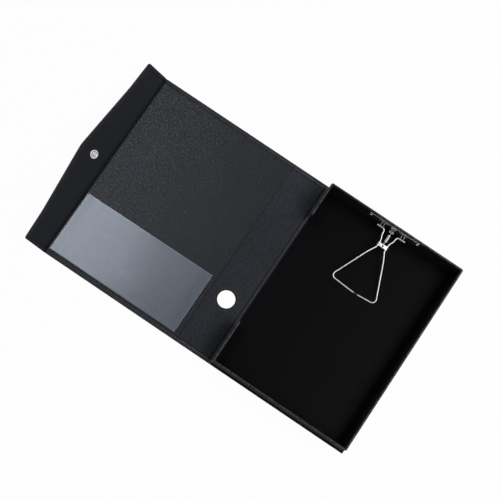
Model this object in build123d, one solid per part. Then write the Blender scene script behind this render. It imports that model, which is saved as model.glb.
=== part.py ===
from build123d import *
import math
import os

# A document box file lies open and flat: from left to right a closing flap, the front cover,
# the spine and the back cover, which carries an open tray with a spring clip on its top wall.
# X runs from the flap to the fore-edge of the tray, Y runs along the spine, Z is up.
# The origin is under the middle of the object, on the surface that it lies on. Millimetres.

os.makedirs("parts", exist_ok=True)

# Driving dimensions of the case
HALF_HEIGHT = 160.0
COVER_PITCH = 235.0
SPINE_PITCH = 58.8
BASE_WIDTH = 235.0
FLAP_END = 40.5
FLAP_SHOULDER = 42.9
FLAP_SHOULDER_Y = 112.0
FLAP_APEX = 54.5
FLAP_APEX_ROUND = 45.0

# How far the flap is folded up as the case lies here, and when the case is closed
FLAP_TILT = 40.0
CLOSED_FLAP = 84.0

# Build-up of a panel, from the outside in
SKIN = 0.8
BOARD = 2.2
LINING = 0.6
PANEL = SKIN + BOARD + LINING
TURN_IN = 6.5
CORNER = 3.0
LEAST_CORNER = 0.5

# A crease is a strip without board, free to fold along both of its edges
CREASE = 3.0
CREASE_THICK = SKIN + LINING
BEAD = CREASE_THICK / 2
FOLD_GAP = 0.1
EDGE = BEAD + FOLD_GAP

# Tray walls
WALL_TOP = 55.0
WRAP = 0.6
WALL_BOARD = 2.0
WALL = WALL_BOARD + 2 * WRAP
SIDE_INSET = 3.0
FORE_INSET = 2.5
RETURN_INSET = 2.8
TOP_RETURN = 57.0
BOTTOM_RETURN = 69.0
WALL_CORNER = 3.0

# Finger hole in the spine, a little nearer to the cover
FINGER_HOLE = 29.0
FINGER_Y = -67.0
FINGER_OFFSET = -2.1

# Clear pocket inside the front cover
POCKET_FROM_FLAP = 4.7
POCKET_FROM_SPINE = 7.6
POCKET_FROM_EDGE = 10.0
POCKET_DEPTH = 101.0
FILM = 0.3
POCKET_SPACE = 0.15
POCKET_WELD = 3.0

# Snap fastener
SNAP_REACH = 28.0
SNAP_RADIUS = 7.0
STUD_RIM = 0.7
STUD_RIM_WIDTH = 2.0
STUD_DISH = 0.45
STUD_DISH_SLOPE = 0.7
STUD_NUB_RADIUS = 2.1
STUD_NUB = 2.4
SNAP_CHAMFER = 0.4
SOCKET_RADIUS = 5.5
SOCKET_HEIGHT = 1.7
SOCKET_BORE = 2.9
SOCKET_BORE_DEPTH = 1.5
SOCKET_LIP = 0.4
WASHER_RADIUS = 6.0
WASHER_BORE = 2.0
WASHER = 0.5
PRONG_WIDTH = 2.4
PRONG = 0.5
PRONG_SPREAD = 3.2
SNAP_RECESS = 0.2

# Spring clip, riveted to the top wall a little left of its middle
CLIP_OFFSET = -1.5
CLIP_PLATE = 1.0
CLIP_HALF = 44.5
CLIP_BOTTOM = 24.0
CLIP_TOP = 49.0
CLIP_CORNER = 4.0
CLIP_EDGE_ROUND = 0.5
WINDOW_CORNER = 0.6
RIVET_X = 40.4
RIVET_Z = (CLIP_TOP + CLIP_BOTTOM) / 2
RIVET_SHANK = 1.8
RIVET_HEAD = 2.7
RIVET_HEAD_HIGH = 1.0
RIVET_RIM = 0.35
RIVET_FLAT = 1.8
PIVOT_FROM_WALL = 6.0
PIVOT_Z = 30.0
EAR_FIRST = 15.4
EAR_SECOND = 19.8
EAR_NOSE = 2.5
EAR_CLEARANCE = 0.06
TAB_Z = 27.0
TAB_ROOT = 2.6
TAB_HEAD = 3.7
TAB_WINDOW = 7.0
TAB_NECK = 1.9
TAB_FRONT = 1.3

# Wire bail: half widths at its bends, and how far each bend lies from the pivot. The far bar
# is bent a little, off its middle
WIRE = 2.3
BAIL_END = 24.2
BAIL_SHOULDER = 11.2
BAIL_KNEE = 10.2
KNEE_AT = 8.5
BAIL_WAIST = 6.9
WAIST_START = 16.5
WAIST_END = 28.0
BAIL_BOW = 14.3
BOW_AT = 41.5
BAIL_HALF = 40.0
CORNER_AT = 101.2
BAIL_LENGTH = 104.0
BAIL_KINK = 4.5
BEND_SHOULDER = 4.0
BEND_KNEE = 12.0
BEND_WAIST_IN = 14.0
BEND_WAIST_OUT = 10.0
BEND_BOW = 60.0
BEND_CORNER = 6.0
BEND_MIDDLE = 90.0
REST_GAP = 0.05

# Saddle that ties the two legs of the bail
SADDLE_START = 19.7
SADDLE_END = 25.3
SADDLE_SHEET = 0.9
SADDLE_FIT = 0.02
SADDLE_EYE_S = 22.1
SADDLE_NOTCH = 1.0

# Extension spring of the clip
SPRING_WIRE = 0.8
SPRING_SIDES = 8
COIL_RADIUS = 2.2
COIL_TURNS = 9
COIL_PITCH = 1.25
LOOP_RADIUS = 1.9
EYE_RADIUS = 0.9
LOOP_SLACK = 0.03

# Places worked out from the driving dimensions. The object reaches from the point of the
# raised flap to the fore-edge of the back cover.
tilt = math.radians(FLAP_TILT)
apex_slope = math.atan((FLAP_APEX - FLAP_SHOULDER) / FLAP_SHOULDER_Y)
apex_cut = FLAP_APEX_ROUND * (1 / math.cos(apex_slope) - 1)
flap_reach = (
    CREASE * math.cos(tilt / 2) - CREASE / 2
    + (FLAP_APEX - CREASE / 2 - apex_cut) * math.cos(tilt)
    + BEAD * math.sin(tilt)
)
LENGTH = flap_reach + COVER_PITCH + SPINE_PITCH + BASE_WIDTH
CREASE_FLAP = -LENGTH / 2 + flap_reach
CREASE_COVER = CREASE_FLAP + COVER_PITCH
CREASE_BASE = CREASE_COVER + SPINE_PITCH
FORE_EDGE = CREASE_BASE + BASE_WIDTH
FOLD_Z = BEAD
WALL_LEFT = CREASE_BASE + RETURN_INSET
WALL_RIGHT = FORE_EDGE - FORE_INSET
WALL_X = (WALL_LEFT + WALL_RIGHT) / 2
WALL_Y = HALF_HEIGHT - SIDE_INSET
WALL_INNER_Y = WALL_Y - WALL
CLIP_X = WALL_X + CLIP_OFFSET
PIVOT_Y = WALL_INNER_Y - PIVOT_FROM_WALL


def save(shape, name):
    shape.label = name
    export_step(shape, f"parts/{name}.step")


def block(x0, x1, y0, y1, z0, z1):
    size = (x1 - x0, y1 - y0, z1 - z0)
    middle = ((x0 + x1) / 2, (y0 + y1) / 2, (z0 + z1) / 2)
    return Pos(*middle) * Box(*size)


def rod(radius, start, end):
    """A round bar between two points."""
    axis = Vector(*end) - Vector(*start)
    return Plane(origin=start, z_dir=axis) * Cylinder(
        radius, axis.length, align=(Align.CENTER, Align.CENTER, Align.MIN)
    )


def layered(outline, bare_outline, lining_outline):
    """Skin, board and lining of a panel from three flat outlines, lying at Z = 0."""
    envelope = extrude(outline, PANEL)
    board = Pos(0, 0, SKIN) * extrude(bare_outline, BOARD)
    lining = Pos(0, 0, SKIN + BOARD) * extrude(lining_outline, LINING)
    skin = envelope - board - lining
    return skin, board, lining


def strip_outline(x0, x1, inset, inset_left=0.0, inset_right=0.0):
    """A rectangle over the height of the case, drawn in from its free edges."""
    width = x1 - x0 - inset_left - inset_right
    middle = (x0 + inset_left + x1 - inset_right) / 2
    return Pos(middle, 0) * Rectangle(width, 2 * (HALF_HEIGHT - inset))


def crease(left_axis, right_axis):
    """The limp strip between two fold lines, with a round bead along each of them."""
    half = HALF_HEIGHT
    length = 2 * half
    centre = (left_axis + right_axis) / 2
    section = Plane.XZ.offset(-half) * Pos(centre, FOLD_Z) * SlotCenterToCenter(
        right_axis - left_axis, CREASE_THICK
    )
    strip = extrude(section, length)
    upper = block(
        left_axis - CREASE, right_axis + CREASE, -half + TURN_IN, half - TURN_IN, SKIN, PANEL
    )
    lining = strip & upper
    skin = strip - upper
    return skin, lining


# Back cover
base_left = CREASE_BASE + CREASE / 2 + EDGE
base_skin, base_board, tray_floor = layered(
    strip_outline(base_left, FORE_EDGE, 0),
    strip_outline(base_left, FORE_EDGE, SKIN, inset_right=SKIN),
    strip_outline(base_left, FORE_EDGE, TURN_IN, inset_right=TURN_IN),
)

# Spine, with its finger hole
spine_left = CREASE_COVER + CREASE / 2 + EDGE
spine_right = CREASE_BASE - CREASE / 2 - EDGE
finger_x = (spine_left + spine_right) / 2 + FINGER_OFFSET
finger_hole = Circle(FINGER_HOLE / 2)
finger_rim = Circle(FINGER_HOLE / 2 + SKIN)
spine_skin, spine_board, spine_lining = layered(
    strip_outline(spine_left, spine_right, 0),
    strip_outline(spine_left, spine_right, SKIN),
    strip_outline(spine_left, spine_right, TURN_IN),
)


def at_finger(sketch, z, height):
    return Pos(finger_x, FINGER_Y, z) * extrude(sketch, height)


spine_board -= at_finger(finger_rim, 0, PANEL)
spine_skin -= at_finger(finger_hole, 0, PANEL)
spine_skin += at_finger(finger_rim - finger_hole, SKIN, BOARD)
spine_lining -= at_finger(finger_hole, 0, PANEL)

# Front cover
cover_left = CREASE_FLAP + CREASE / 2 + EDGE
cover_right = CREASE_COVER - CREASE / 2 - EDGE
cover_skin, cover_board, cover_lining = layered(
    strip_outline(cover_left, cover_right, 0),
    strip_outline(cover_left, cover_right, SKIN),
    strip_outline(cover_left, cover_right, TURN_IN),
)

# Clear pocket: a film welded to the lining along three sides, open towards the top edge
pocket_x0 = CREASE_FLAP + POCKET_FROM_FLAP
pocket_x1 = CREASE_COVER - POCKET_FROM_SPINE
pocket_y0 = -HALF_HEIGHT + POCKET_FROM_EDGE
pocket_y1 = pocket_y0 + POCKET_DEPTH
film_top = PANEL + POCKET_SPACE + FILM
pocket = block(pocket_x0, pocket_x1, pocket_y0, pocket_y1, PANEL, film_top)
pocket -= block(
    pocket_x0 + POCKET_WELD, pocket_x1 - POCKET_WELD, pocket_y0 + POCKET_WELD, pocket_y1 + 1,
    PANEL, PANEL + POCKET_SPACE,
)

# Creases beside the spine
base_crease_skin, base_crease_lining = crease(
    CREASE_BASE - CREASE / 2, CREASE_BASE + CREASE / 2
)
cover_crease_skin, cover_crease_lining = crease(
    CREASE_COVER - CREASE / 2, CREASE_COVER + CREASE / 2
)

# The flap and its crease are made flat and then raised, each about its own fold line
flap_axis_cover = CREASE_FLAP + CREASE / 2
flap_crease_skin, flap_crease_lining = crease(flap_axis_cover - CREASE, flap_axis_cover)


def about(x, z, degrees):
    """A turn about a line along Y through x, z. Positive raises what lies on the left of it."""
    return Pos(x, 0, z) * Rot(0, degrees, 0) * Pos(-x, 0, -z)


first_fold = about(flap_axis_cover, FOLD_Z, FLAP_TILT / 2)
second_fold = about(flap_axis_cover - CREASE, FOLD_Z, FLAP_TILT / 2)
flap_place = first_fold * second_fold


def flap_outline(inset, fold_inset=0.0):
    """The flap seen flat, with a blunt point in the middle of its free edge."""
    root = flap_axis_cover - CREASE - EDGE - fold_inset
    free = flap_axis_cover - CREASE / 2
    top = HALF_HEIGHT - inset
    points = [
        (root, -top),
        (free - FLAP_END + inset, -top),
        (free - FLAP_SHOULDER + inset, -FLAP_SHOULDER_Y),
        (free - FLAP_APEX + inset, 0),
        (free - FLAP_SHOULDER + inset, FLAP_SHOULDER_Y),
        (free - FLAP_END + inset, top),
        (root, top),
    ]
    face = make_face(Polyline(*points, close=True))
    by_x = face.vertices().sort_by(Axis.X)
    face = fillet(by_x[0], FLAP_APEX_ROUND)
    ends = [v for v in face.vertices() if abs(v.Y) > FLAP_SHOULDER_Y + CORNER and v.X < root - CORNER]
    return fillet(ends, max(CORNER - inset, LEAST_CORNER))


flap_skin, flap_board, flap_lining = layered(
    flap_outline(0), flap_outline(SKIN), flap_outline(TURN_IN)
)

# Snap fastener: the half with the nub, pressed through the flap on to a washer
snap_x = flap_axis_cover - CREASE / 2 - SNAP_REACH


def lathe(points):
    """A solid of revolution about Z from points of its half section, as radius and height."""
    return revolve(make_face(Plane.XZ * Polyline(*points, close=True)), Axis.Z)


def prongs(face_z, washer_z):
    """Two legs from the fastener's back to its washer, bent outwards behind it."""
    low = washer_z - PRONG
    legs = []
    for side in (-1, 1):
        inner = side * (WASHER_BORE - PRONG)
        outer = side * WASHER_BORE
        leg = block(min(inner, outer), max(inner, outer), -PRONG_WIDTH / 2, PRONG_WIDTH / 2, low, face_z)
        tip = outer + side * PRONG_SPREAD
        foot = block(min(inner, tip), max(inner, tip), -PRONG_WIDTH / 2, PRONG_WIDTH / 2, low, washer_z)
        legs += [leg, foot]
    return legs


def washer(top_z):
    """A flat disc with one slot for each leg."""
    disc = Pos(0, 0, top_z - WASHER / 2) * Cylinder(WASHER_RADIUS, WASHER)
    slot = Box(2 * WASHER_BORE, PRONG_WIDTH, 4 * WASHER)
    return disc - Pos(0, 0, top_z) * slot


def fastener_cavity(face_z, washer_z):
    """The room that the legs and washer take in the panel or wall."""
    passage = block(
        -WASHER_BORE, WASHER_BORE, -PRONG_WIDTH / 2, PRONG_WIDTH / 2, washer_z - WASHER - PRONG, face_z
    )
    pan_top = washer_z
    pan_low = washer_z - WASHER - PRONG
    pan = Pos(0, 0, (pan_top + pan_low) / 2) * Cylinder(WASHER_RADIUS + SNAP_RECESS, pan_top - pan_low)
    return passage + pan


# Heights of the washers over the panel's outer side and over the wall's inner side
stud_washer_top = SKIN + WASHER + PRONG
stud_top = PANEL + STUD_RIM
dish = PANEL + STUD_DISH
dish_radius = SNAP_RADIUS - STUD_RIM_WIDTH - STUD_DISH_SLOPE
stud = lathe([
    (0, PANEL), (SNAP_RADIUS, PANEL), (SNAP_RADIUS, stud_top - SNAP_CHAMFER),
    (SNAP_RADIUS - SNAP_CHAMFER, stud_top), (SNAP_RADIUS - STUD_RIM_WIDTH, stud_top),
    (dish_radius, dish), (STUD_NUB_RADIUS, dish), (STUD_NUB_RADIUS, PANEL + STUD_NUB - SNAP_CHAMFER),
    (STUD_NUB_RADIUS - SNAP_CHAMFER, PANEL + STUD_NUB), (0, PANEL + STUD_NUB),
])
for leg in prongs(PANEL, stud_washer_top - WASHER):
    stud += leg
stud_washer = washer(stud_washer_top)
stud_cavity = Pos(snap_x, 0, 0) * fastener_cavity(PANEL, stud_washer_top)
flap_board -= stud_cavity
flap_lining -= stud_cavity
stud = Pos(snap_x, 0, 0) * stud
stud_washer = Pos(snap_x, 0, 0) * stud_washer

flap_skin = flap_place * flap_skin
flap_board = flap_place * flap_board
flap_lining = flap_place * flap_lining
stud = flap_place * stud
stud_washer = flap_place * stud_washer
flap_crease_skin = first_fold * flap_crease_skin
flap_crease_lining = first_fold * flap_crease_lining

# Height of the snap on the closed case, which is where the socket sits on the wall
half_fold = math.radians(CLOSED_FLAP / 2)
hang = math.radians(CLOSED_FLAP)
closed_fold_z = FOLD_Z + SPINE_PITCH - CREASE + CREASE * math.sqrt(2)
snap_from_fold = SNAP_REACH - CREASE / 2
socket_z = (
    closed_fold_z
    - CREASE * math.sin(half_fold)
    - snap_from_fold * math.sin(hang)
    - (PANEL - FOLD_Z) * math.cos(hang)
)
closed_inner_z = closed_fold_z - (PANEL - FOLD_Z)
closed_snap_x = (
    COVER_PITCH - CREASE
    + CREASE * math.cos(half_fold)
    + snap_from_fold * math.cos(hang)
    - (PANEL - FOLD_Z) * math.sin(hang)
)
snap_room = closed_snap_x - (WALL_RIGHT - CREASE_BASE - CREASE / 2)
print(f"closed: cover's inner face {closed_inner_z:.2f}, walls' top {WALL_TOP:.2f}")
print(f"closed: flap to wall at the snap {snap_room:.2f}, socket height {socket_z:.2f}")

# Tray walls: one wrap of leatherette round five boards
outer = Pos(WALL_X, 0) * Rectangle(WALL_RIGHT - WALL_LEFT, 2 * WALL_Y)
right_corners = outer.vertices().group_by(Axis.X)[-1]
outer = fillet(right_corners, WALL_CORNER)


def ring(inset, thick):
    """The footprint of the walls between two offsets from their outer faces."""
    outside = offset(outer, -inset, kind=Kind.ARC) if inset else outer
    inside = Pos(WALL_X, 0) * Rectangle(
        WALL_RIGHT - WALL_LEFT - 2 * (inset + thick), 2 * (WALL_Y - inset - thick)
    )
    return outside - inside


def side_gap(end_cap, z0, z1):
    """What is cut from the spine side between its two short returns."""
    low = -WALL_Y + BOTTOM_RETURN - end_cap
    high = WALL_Y - TOP_RETURN + end_cap
    return block(WALL_LEFT - WALL, WALL_LEFT + 2 * WALL, low, high, z0, z1)


walls = Pos(0, 0, PANEL) * extrude(ring(0, WALL), WALL_TOP - PANEL)
walls -= side_gap(0, PANEL, WALL_TOP + WALL)
cores = Pos(0, 0, PANEL) * extrude(ring(WRAP, WALL_BOARD), WALL_TOP - WRAP - PANEL)
cores -= side_gap(WRAP, PANEL, WALL_TOP + WALL)
tray_wrap = walls - cores

core_x0 = WALL_LEFT + WRAP
core_x1 = WALL_RIGHT - WRAP
core_y = WALL_Y - WRAP
tall = (PANEL, WALL_TOP - WRAP)
top_wall_board = cores & block(core_x0, core_x1, core_y - WALL_BOARD, core_y, *tall)
bottom_wall_board = cores & block(core_x0, core_x1, -core_y, -core_y + WALL_BOARD, *tall)
inside_y = core_y - WALL_BOARD
fore_edge_board = cores & block(core_x1 - WALL_BOARD, core_x1, -inside_y, inside_y, *tall)
top_return_board = cores & block(core_x0, core_x0 + WALL_BOARD, 0, inside_y, *tall)
bottom_return_board = cores & block(core_x0, core_x0 + WALL_BOARD, -inside_y, 0, *tall)

# Socket of the snap on the outer face of the fore-edge wall, its washer under the inner wrap
socket_washer_top = WRAP + WASHER + PRONG
socket_top = WALL + SOCKET_HEIGHT
socket_floor = socket_top - SOCKET_BORE_DEPTH
socket = lathe([
    (0, WALL), (SOCKET_RADIUS, WALL), (SOCKET_RADIUS, socket_top - SNAP_CHAMFER),
    (SOCKET_RADIUS - SNAP_CHAMFER, socket_top), (SOCKET_BORE + SOCKET_LIP, socket_top),
    (SOCKET_BORE, socket_top - SOCKET_LIP), (SOCKET_BORE, socket_floor), (0, socket_floor),
])
for leg in prongs(WALL, socket_washer_top - WASHER):
    socket += leg
socket_washer = washer(socket_washer_top)
socket_place = Pos(WALL_RIGHT - WALL, 0, socket_z) * Rot(0, 90, 0)
socket = socket_place * socket
socket_washer = socket_place * socket_washer
socket_cavity = socket_place * fastener_cavity(WALL, socket_washer_top)
tray_wrap -= socket_cavity
fore_edge_board -= socket_cavity

# Clip plate, pressed from one sheet: two pairs of ears for the bail and a tab for the spring
plate_back = WALL_INNER_Y
plate_face = plate_back - CLIP_PLATE


def on_wall(sketch):
    """A sketch in X and Z from the clip's middle, put on the wall's inner face."""
    return Plane(origin=(CLIP_X, plate_back, 0), x_dir=(1, 0, 0), z_dir=(0, -1, 0)) * sketch


plate_middle = (CLIP_TOP + CLIP_BOTTOM) / 2
plate_sheet = Pos(0, plate_middle) * RectangleRounded(2 * CLIP_HALF, CLIP_TOP - CLIP_BOTTOM, CLIP_CORNER)
for side in (-1, 1):
    plate_sheet -= Pos(side * RIVET_X, RIVET_Z) * Circle(RIVET_SHANK)
    ear_window = Pos(side * (EAR_FIRST + EAR_SECOND) / 2, PIVOT_Z) * RectangleRounded(
        EAR_SECOND - EAR_FIRST - CLIP_PLATE, 2 * EAR_NOSE, WINDOW_CORNER
    )
    plate_sheet -= ear_window
window_low = TAB_Z + CLIP_PLATE
plate_sheet -= Pos(0, window_low + TAB_WINDOW / 2) * RectangleRounded(
    2 * TAB_HEAD, TAB_WINDOW, WINDOW_CORNER
)
clip_plate = extrude(on_wall(plate_sheet), CLIP_PLATE)
top_front_edge = clip_plate.edges().filter_by(Axis.X).group_by(Axis.Y)[0].sort_by(Axis.Z)[-1:]
clip_plate = fillet(top_front_edge, CLIP_EDGE_ROUND)


def ear(x):
    """One ear: a blade off the plate with a round nose about the pivot."""
    low = PIVOT_Z - EAR_NOSE
    high = PIVOT_Z + EAR_NOSE
    blade = make_face(Polyline(
        (plate_face, low), (plate_face, high), (PIVOT_Y, high), (PIVOT_Y, low), close=True
    ))
    blade += Pos(PIVOT_Y, PIVOT_Z) * Circle(EAR_NOSE)
    blade -= Pos(PIVOT_Y, PIVOT_Z) * Circle(WIRE / 2 + EAR_CLEARANCE)
    return extrude(Plane.YZ.offset(x - CLIP_PLATE / 2) * blade, CLIP_PLATE)


for side in (-1, 1):
    for reach in (EAR_FIRST, EAR_SECOND):
        clip_plate += ear(CLIP_X + side * reach)

# Where the spring pulls: loop centres at its two ends, in the plane of Y and Z
sink = PIVOT_Z - (PANEL + WIRE / 2 + REST_GAP)
slope = math.asin(sink / BAIL_LENGTH)
bail_plane = Plane(
    origin=(CLIP_X, PIVOT_Y, PIVOT_Z),
    x_dir=(1, 0, 0),
    z_dir=(0, -math.sin(slope), math.cos(slope)),
)
tab_middle = TAB_Z + CLIP_PLATE / 2
hook_loop = Vector(CLIP_X, PIVOT_Y, tab_middle)
loop_inside = LOOP_RADIUS - SPRING_WIRE / 2
eye_front = PIVOT_Y + loop_inside - LOOP_SLACK
eye_y = eye_front + EYE_RADIUS
tab_end = eye_front - TAB_FRONT
neck_y = eye_y + TAB_NECK

tab = make_face(Polyline(
    (-TAB_ROOT, plate_face), (-TAB_ROOT, neck_y), (-TAB_HEAD, eye_y), (-TAB_HEAD, tab_end),
    (TAB_HEAD, tab_end), (TAB_HEAD, eye_y), (TAB_ROOT, neck_y), (TAB_ROOT, plate_face), close=True,
))
tab -= Pos(0, eye_y) * Circle(EYE_RADIUS)
clip_plate += Pos(CLIP_X, 0, TAB_Z) * extrude(tab, CLIP_PLATE)


def rivet(x):
    """A rivet through plate and wall, with a domed head on both sides."""
    length = WALL_Y - plate_face
    far_rim = length + RIVET_RIM
    far_top = length + RIVET_HEAD_HIGH
    profile = [
        (0, -RIVET_HEAD_HIGH), (RIVET_FLAT, -RIVET_HEAD_HIGH), (RIVET_HEAD, -RIVET_RIM),
        (RIVET_HEAD, 0), (RIVET_SHANK, 0), (RIVET_SHANK, length), (RIVET_HEAD, length),
        (RIVET_HEAD, far_rim), (RIVET_FLAT, far_top), (0, far_top),
    ]
    return Pos(x, plate_face, RIVET_Z) * Rot(-90, 0, 0) * lathe(profile)


rivets = [rivet(CLIP_X + side * RIVET_X) for side in (-1, 1)]
for x in (CLIP_X - RIVET_X, CLIP_X + RIVET_X):
    shank = rod(RIVET_SHANK, (x, plate_face, RIVET_Z), (x, WALL_Y + RIVET_HEAD_HIGH, RIVET_Z))
    tray_wrap -= shank
    top_wall_board -= shank

# Wire bail: one bent wire, its turned-out ends in the ears
half_path = [
    (BAIL_END, 0), (BAIL_SHOULDER, 0), (BAIL_KNEE, -KNEE_AT), (BAIL_WAIST, -WAIST_START),
    (BAIL_WAIST, -WAIST_END), (BAIL_BOW, -BOW_AT), (BAIL_HALF, -CORNER_AT),
]
bends = [BEND_SHOULDER, BEND_KNEE, BEND_WAIST_IN, BEND_WAIST_OUT, BEND_BOW, BEND_CORNER]
bail_points = half_path + [(BAIL_KINK, -BAIL_LENGTH)] + [(-x, s) for x, s in reversed(half_path)]
bail_line = bail_plane * FilletPolyline(*bail_points, radius=bends + [BEND_MIDDLE] + bends[::-1])
wire_section = Plane(origin=bail_line @ 0, z_dir=bail_line % 0) * Circle(WIRE / 2)
bail_wire = sweep(wire_section, bail_line)

# Saddle: a pressed strip with two tongues on each side, curled round the legs of the bail
curl_in = WIRE / 2 + SADDLE_FIT
curl_out = curl_in + SADDLE_SHEET
saddle_section = Rectangle(2 * BAIL_WAIST, SADDLE_SHEET, align=(Align.CENTER, Align.MIN))
saddle_section = Pos(0, curl_in) * saddle_section
for side in (-1, 1):
    saddle_section += Pos(side * BAIL_WAIST, 0) * Circle(curl_out)
for side in (-1, 1):
    saddle_section -= Pos(side * BAIL_WAIST, 0) * Circle(curl_in)
saddle_plane = Plane(
    origin=bail_plane.from_local_coords((0, -SADDLE_START, 0)),
    x_dir=(1, 0, 0),
    z_dir=bail_plane.y_dir * -1,
)
saddle = extrude(saddle_plane * saddle_section, SADDLE_END - SADDLE_START)
saddle_eye_front = SADDLE_EYE_S - EYE_RADIUS
eye_under = bail_plane.from_local_coords((0, -SADDLE_EYE_S, 0))
eye_over = bail_plane.from_local_coords((0, -SADDLE_EYE_S, 2 * curl_out))
saddle -= rod(EYE_RADIUS, tuple(eye_under), tuple(eye_over))
notch_middle = (SADDLE_START + SADDLE_END) / 2
for side in (-1, 1):
    saddle -= bail_plane * Pos(side * (BAIL_WAIST + curl_out / 2), -notch_middle, 0) * Box(
        curl_out, SADDLE_NOTCH, 3 * curl_out
    )

# Extension spring: a helix with a loop at each end, as one unbroken tube
saddle_loop = bail_plane.from_local_coords(
    (0, -(saddle_eye_front + LOOP_SLACK - loop_inside), curl_in + SADDLE_SHEET / 2)
)
pull = saddle_loop - hook_loop
spring_length = pull.length
spring_axis = pull.normalized()
spring_side = Vector(1, 0, 0)
spring_up = spring_axis.cross(spring_side) * -1
coil_length = COIL_TURNS * COIL_PITCH
coil_start = (spring_length - coil_length) / 2


def spring_point(u, v, w):
    """A point from its place over, beside and along the spring's axis."""
    return hook_loop + spring_up * u + spring_side * v + spring_axis * w


def spring_way(u, v, w):
    return (spring_up * u + spring_side * v + spring_axis * w).normalized()


def biarc(p0, t0, p1, t1):
    """Two tangent arcs between two points with given directions."""
    v = p1 - p0
    t = t0 + t1
    spread = 2 * (1 - t0.dot(t1))
    vt = v.dot(t)
    d = (-vt + math.sqrt(vt * vt + spread * v.dot(v))) / spread
    joint = (p0 + p1 + (t0 - t1) * d) * 0.5
    first = Edge.make_tangent_arc(p0, t0, joint)
    way = first.tangent_at(1)
    second = Edge.make_tangent_arc(joint, way, p1)
    return [first, second]


# Stations of the spring's line: a loop, the coil in half turns, and the other loop
rise = COIL_PITCH / (2 * math.pi * COIL_RADIUS)
half_turns = 2 * COIL_TURNS
loop_turns = [-3 * math.pi / 4, -math.pi / 2, 0, math.pi / 2]


def loop_stations(centre_w, side):
    """Places and directions round an end loop. side is -1 at the hook and 1 at the saddle."""
    found = []
    for turn in loop_turns if side < 0 else [-t for t in reversed(loop_turns)]:
        u = LOOP_RADIUS * math.sin(turn)
        w = centre_w + side * LOOP_RADIUS * math.cos(turn)
        way = spring_way(math.cos(turn), 0, -side * math.sin(turn))
        found.append((spring_point(u, 0, w), way))
    return found


stations = loop_stations(0, -1)
for k in range(half_turns + 1):
    turn = math.pi * k
    along = coil_start + coil_length * k / half_turns
    way = spring_way(-math.cos(turn), 0, rise)
    stations.append((spring_point(0, -COIL_RADIUS * math.cos(turn), along), way))
stations += loop_stations(spring_length, 1)

spring_edges = []
for (p0, t0), (p1, t1) in zip(stations, stations[1:]):
    spring_edges += biarc(p0, t0, p1, t1)
spring_line = Wire(spring_edges)
spring_section = Plane(origin=stations[0][0], z_dir=stations[0][1]) * RegularPolygon(
    SPRING_WIRE / 2, SPRING_SIDES
)
clip_spring = sweep(spring_section, path=spring_line)


def least_gap(edges, wire, samples=12):
    """The least clear distance of a tube to itself, measured on points of its line."""
    points = []
    run = 0.0
    for edge in edges:
        for k in range(samples):
            points.append((run + edge.length * k / samples, edge.position_at(k / samples)))
        run += edge.length
    least = math.inf
    for i, (s, p) in enumerate(points):
        for t, q in points[i + 1:]:
            if t - s > 3 * wire:
                least = min(least, (q - p).length - wire)
    return least


spring_gap = least_gap(spring_edges, SPRING_WIRE)
print(f"spring length {spring_length:.2f}, coil from {coil_start:.2f}, least gap {spring_gap:.2f}")
print(f"spring volume {clip_spring.volume:.2f}, line times section "
      f"{spring_line.length * spring_section.area:.2f}")
print(f"bail volume {bail_wire.volume:.1f}, line times section "
      f"{bail_line.length * math.pi * WIRE ** 2 / 4:.1f}")

save(base_skin, "base_outer_skin")
save(base_board, "base_board")
save(tray_floor, "tray_floor_lining")
save(tray_wrap, "tray_wall_wrap")
save(top_wall_board, "top_wall_board")
save(bottom_wall_board, "bottom_wall_board")
save(fore_edge_board, "fore_edge_wall_board")
save(top_return_board, "top_return_board")
save(bottom_return_board, "bottom_return_board")
save(base_crease_skin, "base_crease_skin")
save(base_crease_lining, "base_crease_lining")
save(spine_skin, "spine_outer_skin")
save(spine_board, "spine_board")
save(spine_lining, "spine_lining")
save(cover_crease_skin, "cover_crease_skin")
save(cover_crease_lining, "cover_crease_lining")
save(cover_skin, "cover_outer_skin")
save(cover_board, "cover_board")
save(cover_lining, "cover_lining")
save(pocket, "cover_pocket_film")
save(flap_crease_skin, "flap_crease_skin")
save(flap_crease_lining, "flap_crease_lining")
save(flap_skin, "flap_outer_skin")
save(flap_board, "flap_board")
save(flap_lining, "flap_lining")
save(stud, "snap_stud")
save(stud_washer, "snap_stud_washer")
save(socket, "snap_socket")
save(socket_washer, "snap_socket_washer")
save(clip_plate, "clip_plate")
save(Compound(children=rivets), "clip_rivets")
save(bail_wire, "bail_wire")
save(saddle, "bail_saddle")
save(clip_spring, "clip_spring")
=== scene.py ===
from math import acos, asin, atan, ceil, copysign, cos, exp, pi, radians, sin, tan

import bpy
import numpy as np
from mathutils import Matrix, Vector


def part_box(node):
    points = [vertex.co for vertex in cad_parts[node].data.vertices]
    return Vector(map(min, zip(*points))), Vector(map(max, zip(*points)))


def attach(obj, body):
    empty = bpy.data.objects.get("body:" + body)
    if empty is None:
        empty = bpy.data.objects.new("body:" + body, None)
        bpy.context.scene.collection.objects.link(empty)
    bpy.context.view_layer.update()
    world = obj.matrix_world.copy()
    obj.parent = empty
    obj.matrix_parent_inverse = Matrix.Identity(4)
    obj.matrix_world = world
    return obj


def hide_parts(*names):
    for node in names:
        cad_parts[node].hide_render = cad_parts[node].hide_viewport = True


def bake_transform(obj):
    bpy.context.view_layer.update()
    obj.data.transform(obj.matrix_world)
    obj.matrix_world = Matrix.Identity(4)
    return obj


# Looks of a document box file that lies open and flat. X runs from the closing flap to the
# fore-edge of the tray, Y along the spine, Z is up. Sizes are in millimetres until a mesh is
# made, and every shape is worked out from the sizes below.

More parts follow.
